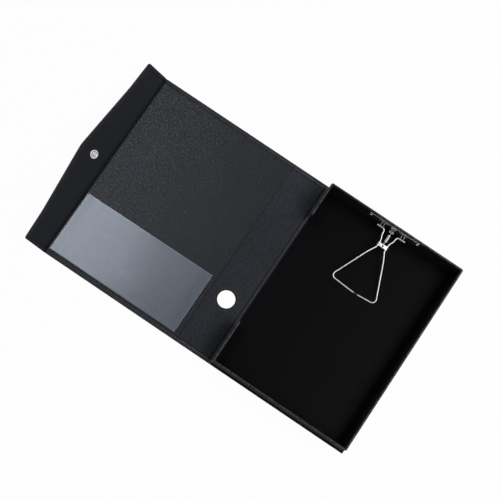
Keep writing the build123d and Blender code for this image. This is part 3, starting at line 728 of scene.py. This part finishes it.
def build_crease(centre, left_body, crease_body, right_body, look, bent=False):
    """Two halves, each with lines pressed into its back; the flap's crease is bent about its fold lines as the flap
    stands.
    """
    valley, line, width, darkness, rub = look
    for side, panel in ((-1, left_body), (1, right_body)):
        u = VALLEY_PLACES[::side]
        across, along = np.meshgrid(centre + side * u, end_stations(8.0), indexing="ij")
        depth = np.broadcast_to(u[:, None], across.shape)
        place = side * depth
        d = panel_ends(along)
        thick = valley + (PANEL - valley) * smooth((depth - VALLEY_FLAT) / (VALLEY - 0.2 - VALLEY_FLAT))
        share = thick / PANEL
        top = thick + (inner_face(d) - PANEL) * share
        bottom = rounded(d, EDGE_ROUND) * share + OUTER_GROOVE * hump(depth, CREASE / 2, 0.45)
        # Painted shade: a dark line along the valley, or for the tray's crease the painted shade of its foot
        if darkness is None:
            painted_shade = painted_foot_shade(place, along)
        else:
            painted_shade = darkness * np.exp(-((place - line) / width) ** 4)
        rubbed = rub * smooth(place - line - 1.5 * width) * (1.0 + beside_returns(along))
        wear_and_painted_light = (edge_wear_and_shade(d) + rubbed) * (1.0 - painted_shade) - painted_shade
        points, faces = sheet(across, along, top, bottom)
        regions = lining_regions(points, faces)
        fold_line = centre + side * CREASE / 2
        ends = [np.array([[fold_line + side * way * BLEND_HALF, 0.0, FOLD_Z]]) for way in (1, -1)]
        if bent:
            middles = points[faces].mean(axis=1)
            # Painted shadow: the flap crease's inner side, up to just past its middle, takes the near-black material
            black = (middles[:, 0] < centre + FLAP_SHADOW_TO) & (middles[:, 2] > CREASE_THICK / 2)
            regions = np.where(black, 2, regions)
            points, *ends = [bend_crease(p, centre, side) for p in (points, *ends)]
        inner = LINING if bent else SPINE_LINING
        piece = add_piece(f"{crease_body}_{'left' if side < 0 else 'right'}", points, faces,
                          [SKIN, inner, CREASE_SHADOW_BLACK], None, "grained_leatherette",
                          [f"{crease_body}_skin", f"{crease_body}_lining"], wear_and_painted_light, regions)
        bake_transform(piece)


def bend_crease(points, centre, side):
    """The flap's crease as the flap stands: half of the tilt at each of the two fold lines."""
    u = (points[:, 0] - centre) * side
    half = FLAP_TILT / 2
    weight = smooth((CREASE / 2 + BLEND_HALF - u) / (2 * BLEND_HALF))
    near_cover = centre + CREASE / 2
    if side > 0:
        return fold(points, near_cover, FOLD_Z, weight * half)
    once = fold(points, near_cover - CREASE, FOLD_Z, (1.0 - weight) * half)
    return fold(once, near_cover, FOLD_Z, half)


# Tray walls

def wall_stations():
    """Pairs of outer and inner points of the wall's footprint, from the top return round to the bottom one."""
    pairs = []

    def run(x0, y0, x1, y1, nx, ny, steps):
        for t in np.linspace(0, 1, steps + 1):
            x, y = x0 + (x1 - x0) * t, y0 + (y1 - y0) * t
            pairs.append([(x, y), (x - nx * WALL, y - ny * WALL)])

    def corner(x, y, start):
        """x, y is the corner of the outer faces. Turns clockwise from the direction start."""
        sx, sy = copysign(1, x - WALL_LEFT - 1), copysign(1, y)
        small = 0.5
        for k in range(1, 8):
            a = radians(start - 90 * k / 8)
            pairs.append([(x - sx * draw + round_off * cos(a), y - sy * draw + round_off * sin(a))
                          for draw, round_off in ((WALL_CORNER, WALL_CORNER), (WALL + small, small))])

    left, right, end, c = WALL_LEFT, WALL_RIGHT, WALL_Y, WALL_CORNER
    run(left, end - TOP_RETURN, left, end - c, -1, 0, 8)
    corner(left, end, 180)
    run(left + c, end, right - c, end, 0, 1, 30)
    corner(right, end, 90)
    run(right, end - c, right, -end + c, 1, 0, 40)
    corner(right, -end, 0)
    run(right - c, -end, left + c, -end, 0, -1, 30)
    corner(left, -end, -90)
    run(left, -end + c, left, -end + BOTTOM_RETURN, -1, 0, 9)
    return np.array(pairs)


def wall_section():
    """Across the wall: share from the outer to the inner face, height, and how pale it is, worn and on the rim partly
    a painted highlight.
    """
    rise = [PANEL - 0.4, PANEL + 0.4, PANEL + 6.0, 20.0, 35.0, WALL_TOP - 8.0, WALL_TOP - 3.0]
    share = RIM_ROUND / WALL
    turns = [(sin(a), cos(a)) for a in np.linspace(0.0, pi / 2, 9)]
    section = [(0.0, z, 0.1) for z in rise]
    section += [(share * (1 - c), WALL_TOP - RIM_ROUND * (1 - s), 1.6 * s ** 2) for s, c in turns[1:]]
    section += [(1 - share * (1 - s), WALL_TOP - RIM_ROUND * (1 - c), 1.6 * c ** 2) for s, c in turns[:-1]]
    return np.array(section + [(1.0, z, 0.0) for z in rise[::-1]]).T


def build_walls():
    """One wrap round the five wall boards, rounded at the rim and at the returns' free ends."""
    pairs = wall_stations()
    tips = []
    for end, before in ((0, 1), (-1, -2)):
        way = unit(pairs[end, 0] - pairs[before, 0]) * END_ROUND
        middle = pairs[end].mean(axis=0)
        tips.append([middle + (pairs[end] - middle) * (0.08 + 0.92 * cos(a)) + way * (sin(a) - 1.0)
                     for a in np.radians([75, 55, 35, 15])])
        pairs[end] = pairs[end] - way
    pairs = np.concatenate([tips[0], pairs, tips[1][::-1]])
    outer, inner = pairs[:, 0], pairs[:, 1]
    shares, heights, worn = wall_section()
    n, m = len(pairs), len(shares)
    points = np.zeros((n, m, 3))
    points[:, :, :2] = outer[:, None, :] + (inner - outer)[:, None, :] * shares[None, :, None]
    points[:, :, 2] = heights
    outward = shares < 0.5
    returns = outer[:, 0] < WALL_LEFT + 1.0
    bottom_wall = outer[:, 1] < -WALL_Y + 1.0
    far_wall = outer[:, 1] > WALL_Y - 1.0
    # The rim's paleness is partly worn, partly a painted highlight where the rounded rim catches light
    wear_and_painted_light = np.tile(worn * RIM_WEAR_AND_HIGHLIGHT, (n, 1))
    wear_and_painted_light[np.ix_(returns, outward)] *= RETURN_WEAR_AND_HIGHLIGHT
    wear_and_painted_light[np.ix_(bottom_wall & ~returns, outward & (heights < WALL_TOP - 1.0))] *= BOTTOM_WALL_WEAR
    wear_and_painted_light[np.ix_(~returns, ~outward)] *= INNER_WALL_WEAR_AND_HIGHLIGHT
    along = smooth((outer[far_wall, 0] - WALL_LEFT - 20.0) / 200.0)[:, None]
    wear_and_painted_light[far_wall] *= FAR_WALL_LEFT + FAR_WALL_GAIN * along
    at = numbered(n, m)
    first_cap, last_cap = [grid_faces(np.stack([row[:m // 2], row[:m // 2 - 1:-1]], axis=1)) for row in at[[0, -1]]]
    faces = np.vstack([grid_faces(at), first_cap, last_cap[:, ::-1], grid_faces(at[:, [-1, 0]])])
    lined_from = np.where(bottom_wall, BOTTOM_LINED, LINED)[:-1, None]
    lined = np.minimum(shares[:-1], shares[1:]) > lined_from
    regions = np.concatenate([lined.ravel(), np.zeros(len(faces) - lined.size)])
    add_piece("tray_walls", points, faces, [WALL_SKIN, LIT_WALL_LINING], "base", "smooth_leatherette",
              ["tray_wall_wrap"], wear_and_painted_light, regions)


def build_floor_lining():
    """The smooth black lining on the tray's floor."""
    x = stations(WALL_LEFT + 0.2, WALL_RIGHT - WALL + 0.3, [0.0, 0.1, 0.3, 0.8], [0.0], 8.0)
    y = stations(-WALL_Y + WALL - 0.3, WALL_Y - WALL + 0.3, [0.0], [0.0], 8.0)
    across, along = np.meshgrid(x, y, indexing="ij")
    top = PANEL - rounded(across - x[0], 0.35) + np.minimum(swell(across, along, 0.06, 3.0), 0.0)
    points, faces = sheet(across, along, top, PANEL - TRAY_LINING_THICK)
    wear_and_painted_light = TRAY_EDGE_WEAR * smooth(1.0 - (across - x[0]) / 0.9)
    add_piece("tray_floor", points, faces, [TRAY_LINING], "base", "smooth_lining",
              ["tray_floor_lining"], wear_and_painted_light)


# Pocket

def build_pocket():
    """Film welded along three sides, slightly slack between them, with a free upper edge."""
    x0 = CREASE_FLAP + POCKET_FROM_FLAP + FILM_INSET_LEFT
    x1 = CREASE_COVER - POCKET_FROM_SPINE - FILM_INSET_RIGHT
    y0 = -HALF_HEIGHT + POCKET_FROM_EDGE
    y1 = y0 + POCKET_DEPTH
    weld = [0.0, 0.1, 0.5, 1.0, 1.4, 1.8, 2.2, 2.6, 3.0, 3.4, 4.0, 5.5, 8.0]
    x = stations(x0, x1, weld, weld, 4.0)
    y = stations(y0, y1, weld, [0.0, 0.15, 0.5, 1.2, 2.5, 4.5], 4.0)
    across, along = np.meshgrid(x, y, indexing="ij")
    inward = np.minimum(np.minimum(across - x0, x1 - across), along - y0)
    slack = smooth((inward - 3.4) / 14.0)
    lift = 0.2 * slack + 0.16 * slack * (0.5 + swell(across, along, 0.9, 5.2))
    mouth = smooth((along - (y1 - 14.0)) / 14.0)
    lift = lift + 0.12 * slack * mouth * (1.0 + 0.6 * np.sin(across * 0.045 + 1.0))
    lining = PANEL - LINING_DROP
    top = lining + 0.34 + lift - 0.04 * hump(inward, 1.5, 0.9)
    bottom = np.maximum(top - FILM_THICK, lining - 0.05)
    wear_and_painted_light = np.maximum(FILM_SIDE_WEAR * hump(across, x0 + 2.2, 0.5), FILM_MOUTH_WEAR * smooth(1.0 - (y1 - along) / 0.9))
    # The mouth isn't quite square to the pocket's sides
    askew = MOUTH_LEFT + (MOUTH_RIGHT - MOUTH_LEFT) * (across - x0) / (x1 - x0)
    points, faces = sheet(across, along + askew * (along - y0) / (y1 - y0), top, bottom)
    add_piece("pocket_film", points, faces, [FILM], "cover", "clear_film",
              ["cover_pocket_film"], wear_and_painted_light)
    return x0, x1, y0, y1


def capsule(length, width, height, rings=6, sides=10):
    """Points and faces of a lying stitch, along Y, round its own middle."""
    turns = circle(sides)
    rows = []
    for k in range(rings + 1):
        a = pi * k / rings
        r = sin(a) ** 0.4 if 0 < k < rings else 0.02
        y = np.full(sides, -cos(a) * length / 2)
        rows.append(np.column_stack([np.cos(turns) * r * width / 2, y, np.sin(turns) * r * height / 2]))
    return np.vstack(rows), ring_faces(rings + 1, sides, flip=True)


def build_stitches(x0, x1, y0, y1):
    """A row of short stitches along each short side of the pocket, slimmer along the left one."""
    shape, shape_faces = capsule(2.2, 2.3, 0.6)
    rows = (("left", x0 - STITCH_OFF_LEFT, 0.8, 0.7), ("right", x1 + STITCH_OFF_RIGHT, 1.05, 1.1))
    for name, x, slim, short in rows:
        across, along = slim * shape[:, 0], short * shape[:, 1]
        stitches = []
        for k in range(int((y1 - y0) // STITCH_PITCH)):
            y = y0 + STITCH_PITCH * (k + 0.6)
            a = radians(4 if k % 2 else -3)
            turned = np.column_stack([x + across * cos(a) - along * sin(a),
                                      y + across * sin(a) + along * cos(a), PANEL + 0.12 + shape[:, 2]])
            stitches.append((turned, shape_faces))
        add_piece(f"pocket_stitches_{name}", *joined(stitches), [THREAD], "cover", "grained_leatherette")


# Snap

def lathe(profile, place, count=64):
    """A turned shape from radius and height pairs, put in place by a function of points."""
    turns = circle(count)
    rows = [np.column_stack([r * np.cos(turns), r * np.sin(turns), np.full(count, z)]) for r, z in profile]
    return place(np.array(rows)), ring_faces(len(profile), count)


def arc(centre, radius, first, last, steps):
    """Points of a quarter or less of a circle, in radius and height."""
    return [(centre[0] + radius * cos(a), centre[1] + radius * sin(a))
            for a in np.radians(np.linspace(first, last, steps + 1))]


def build_snap():
    """The ring and nub on the flap, and the socket on the fore-edge wall."""
    base = PANEL - 0.15
    ring = [(7.0, base)] + arc((6.35, base + 0.35), 0.65, 0, 90, 6) + [(5.4, base + 1.0)]
    ring += arc((5.2, base + 0.75), 0.25, 90, 180, 3)
    ring += [(4.6, base + 0.45), (4.2, base + 0.36), (2.9, base + 0.34)]
    ring += [(2.25, base + 0.5), (2.1, base + 0.9), (2.05, base + 1.6)]
    ring += arc((1.45, base + 1.7), 0.65, 0, 90, 5) + [(0.5, base + 2.38), (0.05, base + 2.4)]
    cup = [(5.5, 0.0)] + arc((4.9, 1.1), 0.6, 0, 90, 5) + [(3.6, 1.7)] + arc((3.3, 1.4), 0.3, 90, 180, 3)
    cup += [(2.9, 1.2), (2.85, 0.35), (2.6, 0.2), (0.05, 0.2)]
    low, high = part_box("snap_socket")
    centre_z = (low.z + high.z) / 2 / MM

    def on_flap(points):
        return raise_flap(points + np.array([CREASE_FLAP - SNAP_REACH, 0.0, 0.0]))

    def on_wall(points):
        return np.stack([WALL_RIGHT - 0.1 + points[..., 2], points[..., 1], centre_z - points[..., 0]], axis=-1)

    add_piece("snap_ring_and_nub", *lathe(ring, on_flap), [SNAP], "flap", "snap_metal", ["snap_stud"])
    add_piece("snap_socket_cup", *lathe(cup, on_wall), [SNAP], "base", "snap_metal", ["snap_socket"])


# Spring clip

def bent_line(corners, radii, step=0.12):
    """A flat line through corners, each rounded by an arc. Step is in radians."""
    corners = [np.array(c, float) for c in corners]
    found = [corners[0]]
    for before, corner, after, radius in zip(corners, corners[1:], corners[2:], radii):
        came, goes = unit(corner - before), unit(after - corner)
        side = copysign(1.0, came[0] * goes[1] - came[1] * goes[0])
        turn = acos(float(np.clip(came @ goes, -1.0, 1.0)))
        start = corner - came * radius * tan(turn / 2)
        normal = np.array([-came[1], came[0]]) * side
        for a in np.linspace(0.0, turn, max(3, ceil(turn / step)) + 1):
            found.append(start + came * radius * sin(a) + normal * radius * (1.0 - cos(a)))
    return found + [corners[-1]]


def divided(points, step):
    """The same line with points added where two lie far apart."""
    found = [points[0]]
    for a, b in zip(points, points[1:]):
        count = max(1, ceil(np.linalg.norm(b - a) / step))
        found += [a + (b - a) * k / count for k in range(1, count + 1)]
    return found


def tube(line, radius, sides):
    """Points and faces of a round bar along a line, with domed ends."""
    line = np.array(line, float)
    ways = unit(np.gradient(line, axis=0))
    normal = np.cross(ways[0], [0.0, 0.0, 1.0])
    if np.linalg.norm(normal) < 0.1:
        normal = np.cross(ways[0], [1.0, 0.0, 0.0])
    turns = circle(sides)
    dome = [radians(a) for a in (84, 62, 40, 20)]
    stops = [(0, -sin(a), cos(a)) for a in dome]
    stops += [(k, 0.0, 1.0) for k in range(len(line))]
    stops += [(len(line) - 1, sin(a), cos(a)) for a in dome[::-1]]
    rings = []
    for k, ahead, draw in stops:
        normal = unit(normal - ways[k] * (normal @ ways[k]))
        other = np.cross(ways[k], normal)
        middle = line[k] + ways[k] * ahead * radius * 0.6
        rings.append(middle + radius * draw * (np.outer(np.cos(turns), normal) + np.outer(np.sin(turns), other)))
    return np.vstack(rings), ring_faces(len(rings), sides, flip=True)


def on_bail(flat, height=0.0):
    """Places in the bail's plane, from across and along, as the bail lies at rest."""
    flat = np.atleast_2d(np.array(flat, float))
    along, up = flat[:, 1], np.broadcast_to(height, flat[:, 1].shape)
    sink, rise = sin(BAIL_SLOPE), cos(BAIL_SLOPE)
    return np.column_stack([
        CLIP_X + flat[:, 0], PIVOT_Y - along * rise - up * sink, PIVOT_Z - along * sink + up * rise,
    ])


def build_bail():
    """One bent wire with a painted dark reflection on a stretch of its far bar."""
    half = [
        (BAIL_END, 0.0), (11.2, 0.0), (10.2, 8.5), (BAIL_WAIST, 16.5), (BAIL_WAIST, 28.0), (14.3, 41.5), (40.0, 101.2),
    ]
    corners = half + [(BAIL_KINK, BAIL_LENGTH)] + [(-x, s) for x, s in reversed(half)]
    radii = [4.0, 12.0, 14.0, 10.0, 60.0, 6.0]
    line = divided(on_bail(bent_line(corners, radii + [BAIL_KINK_ROUND] + radii[::-1])), 1.5)
    points, faces = tube(line, WIRE / 2, 24)
    across = points[:, 0] - CLIP_X
    far = points[:, 1] < PIVOT_Y - 0.9 * BAIL_LENGTH
    painted_dark_reflection = smooth((across - DARK_REFLECTION_FROM) / 1.2) * smooth((DARK_REFLECTION_TO - across) / 1.2) * far
    add_piece("bail_bent_wire", points, faces, [WIRE_STEEL], "bail", "clip_steel", ["bail_wire"], painted_dark_reflection)


def build_saddle():
    """The crowned strip with its eye, and the four tongues curled round the wire's legs."""
    inside = WIRE / 2 + 0.02
    outside = inside + SADDLE_SHEET
    shells = []
    turns = circle(32)
    bevel, gap = 0.25, 0.7
    ring = [(inside, 0.0), (outside - bevel, 0.0), (outside - bevel * 0.3, bevel * 0.3), (outside, bevel)]
    for side in (-1, 1):
        for s0, s1 in ((SADDLE_START, SADDLE_MIDDLE - gap), (SADDLE_MIDDLE + gap, SADDLE_END)):
            rows = []
            for r, s in [(r, s0 + d) for r, d in ring] + [(r, s1 - d) for r, d in ring[::-1]]:
                flat = np.column_stack([side * BAIL_WAIST + r * np.cos(turns), np.full(len(turns), s)])
                rows.append(on_bail(flat, r * np.sin(turns)))
            shells.append((np.vstack(rows), ring_faces(len(rows), len(turns), closed=True)))
    # The strip as rings from its eye out to its rounded outline, over and under
    turns = circle(48)
    c, s = np.cos(turns), np.sin(turns)
    half_wide, half_long = BAIL_WAIST, (SADDLE_END - SADDLE_START) / 2
    reach = 1.0 / np.maximum(np.abs(c) / half_wide, np.abs(s) / half_long)
    outline = np.column_stack([reach * c, SADDLE_MIDDLE + reach * s])
    rim = np.column_stack([EYE * c, SADDLE_EYE + EYE * s])
    top, low = [], []
    for t in (0.0, 0.12, 0.3, 0.55, 0.8, 0.94, 1.0):
        flat = rim + (outline - rim) * t
        from_middle = (flat[:, 1] - SADDLE_MIDDLE) / half_long
        crown = SADDLE_CROWN * (1.0 - (flat[:, 0] / half_wide) ** 2) * (1.0 - 0.5 * from_middle ** 2)
        edge = 0.22 * smooth(1.0 - t / 0.12) + 0.22 * smooth((t - 0.9) / 0.1)
        top.append(on_bail(flat, outside + crown - edge - 0.15))
        low.append(on_bail(flat, outside - SADDLE_SHEET * 0.8 + crown * 0.5))
    rings = top + low[::-1]
    shells.append((np.vstack(rings), ring_faces(len(rings), len(turns), closed=True, flip=True)))
    add_piece("bail_saddle_strip", *joined(shells), [PRESSED], "bail", "clip_steel", ["bail_saddle"])


def build_spring():
    """The tight coil, from its hook on the plate's tab to the saddle's eye, as the bail lies at rest."""
    hook = np.array([CLIP_X, PIVOT_Y, TAB_Z])
    eye_s = SADDLE_EYE - EYE + 0.03 + SPRING_WIRE / 2 - LOOP_RADIUS
    pull = on_bail([(0.0, eye_s)], WIRE / 2 + SADDLE_SHEET / 2)[0] - hook
    length = float(np.linalg.norm(pull))
    axis = pull / length
    side = np.array([1.0, 0.0, 0.0])
    up = -np.cross(axis, side)
    coil = SPRING_TURNS * SPRING_PITCH
    start = (length - coil) / 2
    line = []

    def station(u, v, w):
        line.append(hook + up * u + side * v + axis * w)

    loop = np.linspace(-0.75 * pi, 0.5 * pi, 16)
    for a in loop:
        station(LOOP_RADIUS * sin(a), 0.0, -LOOP_RADIUS * cos(a))
    for t in (0.35, 0.7):
        station(LOOP_RADIUS, 0.5 * sin(pi * t), start * t)
    turns = np.linspace(0.0, 2 * pi * SPRING_TURNS, 24 * SPRING_TURNS + 1)
    for a in turns:
        draw = 1.0 - 0.12 * (exp(-a / 2.0) + exp(-(turns[-1] - a) / 2.0))
        station(COIL_RADIUS * draw * cos(a), -COIL_RADIUS * draw * sin(a), start + coil * a / turns[-1])
    for t in (0.3, 0.65):
        station(LOOP_RADIUS, -0.5 * sin(pi * t), start + coil + start * t)
    for a in loop[::-1]:
        station(LOOP_RADIUS * sin(a), 0.0, length + LOOP_RADIUS * cos(a))
    piece = add_piece("coil_spring", *tube(line, SPRING_WIRE / 2, 10), [PRESSED], None, "clip_steel", ["clip_spring"])
    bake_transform(piece)


def dress_nodes():
    """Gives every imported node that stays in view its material."""
    for name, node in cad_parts.items():
        if node.hide_render:
            continue
        steel = PLATE_STEEL if name.startswith(("clip_", "bail_")) else BOARD
        node.data.materials.clear()
        node.data.materials.append(SNAP if name.startswith("snap_") else steel)


build_cover()
build_spine()
build_base()
build_flap()
build_crease(CREASE_BASE, "spine", "base_crease", "base", BASE_CREASE_LOOK)
build_crease(CREASE_COVER, "cover", "cover_crease", "spine", COVER_CREASE_LOOK)
build_crease(CREASE_FLAP, "flap", "flap_crease", "cover", FLAP_CREASE_LOOK, bent=True)
build_walls()
build_floor_lining()
build_stitches(*build_pocket())
build_snap()
build_bail()
build_saddle()
build_spring()
dress_nodes()


# Studio: white floor and world, two level soft panels overhead and two upright ones. The
# pocket mirrors the edge of the left one. Sizes are in metres from here on
FLOOR_HALF = 8.0
FLOOR_DROP = 0.0004
LAMP_HEIGHT = 2.0
SIDE_PANEL = (2.0, 1.0)
SIDE_AIM = (0.0, 0.0, 0.35)
COOL_WHITE = (0.98, 1.0, 1.03)
CAMERA_PLACE = (0.09114, -0.26167, 1.88871)
CAMERA_TURN = (8.308, -2.539, 33.863)


def build_floor():
    """A floor that is white to the camera and keeps the object's shadow."""
    h = FLOOR_HALF
    mesh = bpy.data.meshes.new("studio_floor")
    mesh.from_pydata([(-h, -h, 0), (h, -h, 0), (h, h, 0), (-h, h, 0)], [], [(0, 1, 2, 3)])
    floor = add_object("studio_floor", mesh)
    floor.location.z = -FLOOR_DROP
    material, tree, _ = start_material("studio_white")
    dress(material, (0.8, 0.8, 0.8), 0.9)
    path = add_node(tree, "LightPath")
    share = maths(tree, "MULTIPLY", path.outputs["Is Camera Ray"], 0.97)
    glow = add_node(tree, "Emission", Strength=1.0)
    choice = add_node(tree, "MixShader")
    for socket, value in zip(choice.inputs, (share, tree.nodes["Principled BSDF"].outputs[0], glow.outputs[0])):
        feed(tree, value, socket)
    feed(tree, choice.outputs[0], tree.nodes["Material Output"].inputs["Surface"])
    mesh.materials.append(material)


def build_world():
    """White to the camera and through film; for reflections a white tent, dark overhead."""
    world = bpy.data.worlds.new("studio")
    bpy.context.scene.world = world
    world.use_nodes = True
    tree = world.node_tree
    sky = tree.nodes["Background"]
    rays = add_node(tree, "LightPath").outputs
    way = add_node(tree, "TexCoord").outputs["Generated"]
    parts = add_node(tree, "SeparateXYZ", Vector=way)
    seen = linear(tree, ramp(tree, parts.outputs["Z"], 0.96, 0.75), 0.2, 0.08)
    seen = linear(tree, ramp(tree, parts.outputs["Z"], 0.35, 0.05), 0.7, seen)
    seen = linear(tree, ramp(tree, parts.outputs["Y"], 0.08, 0.3), 0.4, seen)
    direct = maths(tree, "MAXIMUM", rays["Is Camera Ray"], rays["Is Transmission Ray"])
    rest = maths(tree, "SUBTRACT", 1.0, maths(tree, "MAXIMUM", direct, rays["Is Glossy Ray"]))
    lit = linear(tree, rest, 0.12, maths(tree, "MULTIPLY", rays["Is Glossy Ray"], seen))
    feed(tree, maths(tree, "ADD", direct, lit), sky.inputs["Strength"])
    feed(tree, (1, 1, 1), sky.inputs["Color"])


def add_lamp(name, place, size, strength, tint=COOL_WHITE, aim=None):
    """A soft panel of the given brightness, level unless it is aimed at a place."""
    data = bpy.data.lights.new(name, "AREA")
    data.shape = "RECTANGLE"
    data.size, data.size_y = size
    data.energy = strength * pi * size[0] * size[1]
    data.color = tint
    lamp = add_object(name, data)
    lamp.location = place
    lamp.visible_camera = False
    if aim:
        lamp.rotation_euler = (Vector(aim) - Vector(place)).to_track_quat("-Z", "Y").to_euler()


def build_camera():
    """The camera, set by a fit of the case's corners, creases and tray rim."""
    data = bpy.data.cameras.new("camera")
    data.sensor_width = 36.0
    data.lens = 92.36
    data.clip_end = 100.0
    camera = add_object("camera", data)
    camera.location = CAMERA_PLACE
    camera.rotation_euler = [radians(a) for a in CAMERA_TURN]
    bpy.context.scene.camera = camera


build_floor()
build_world()
add_lamp("left_panel", (-0.585, 0.2, LAMP_HEIGHT), (0.43, 1.1), 4.1, (0.93, 1.0, 1.12))
add_lamp("right_panel", (1.11, 0.1, LAMP_HEIGHT), (0.98, 2.0), 5.4)
add_lamp("low_right_panel", (1.6, 0.0, 0.7), SIDE_PANEL, 0.4, aim=SIDE_AIM)
add_lamp("low_far_panel", (0.0, 1.6, 0.7), SIDE_PANEL, 0.5, aim=SIDE_AIM)
build_camera()
bpy.context.scene.view_settings.view_transform = "Standard"
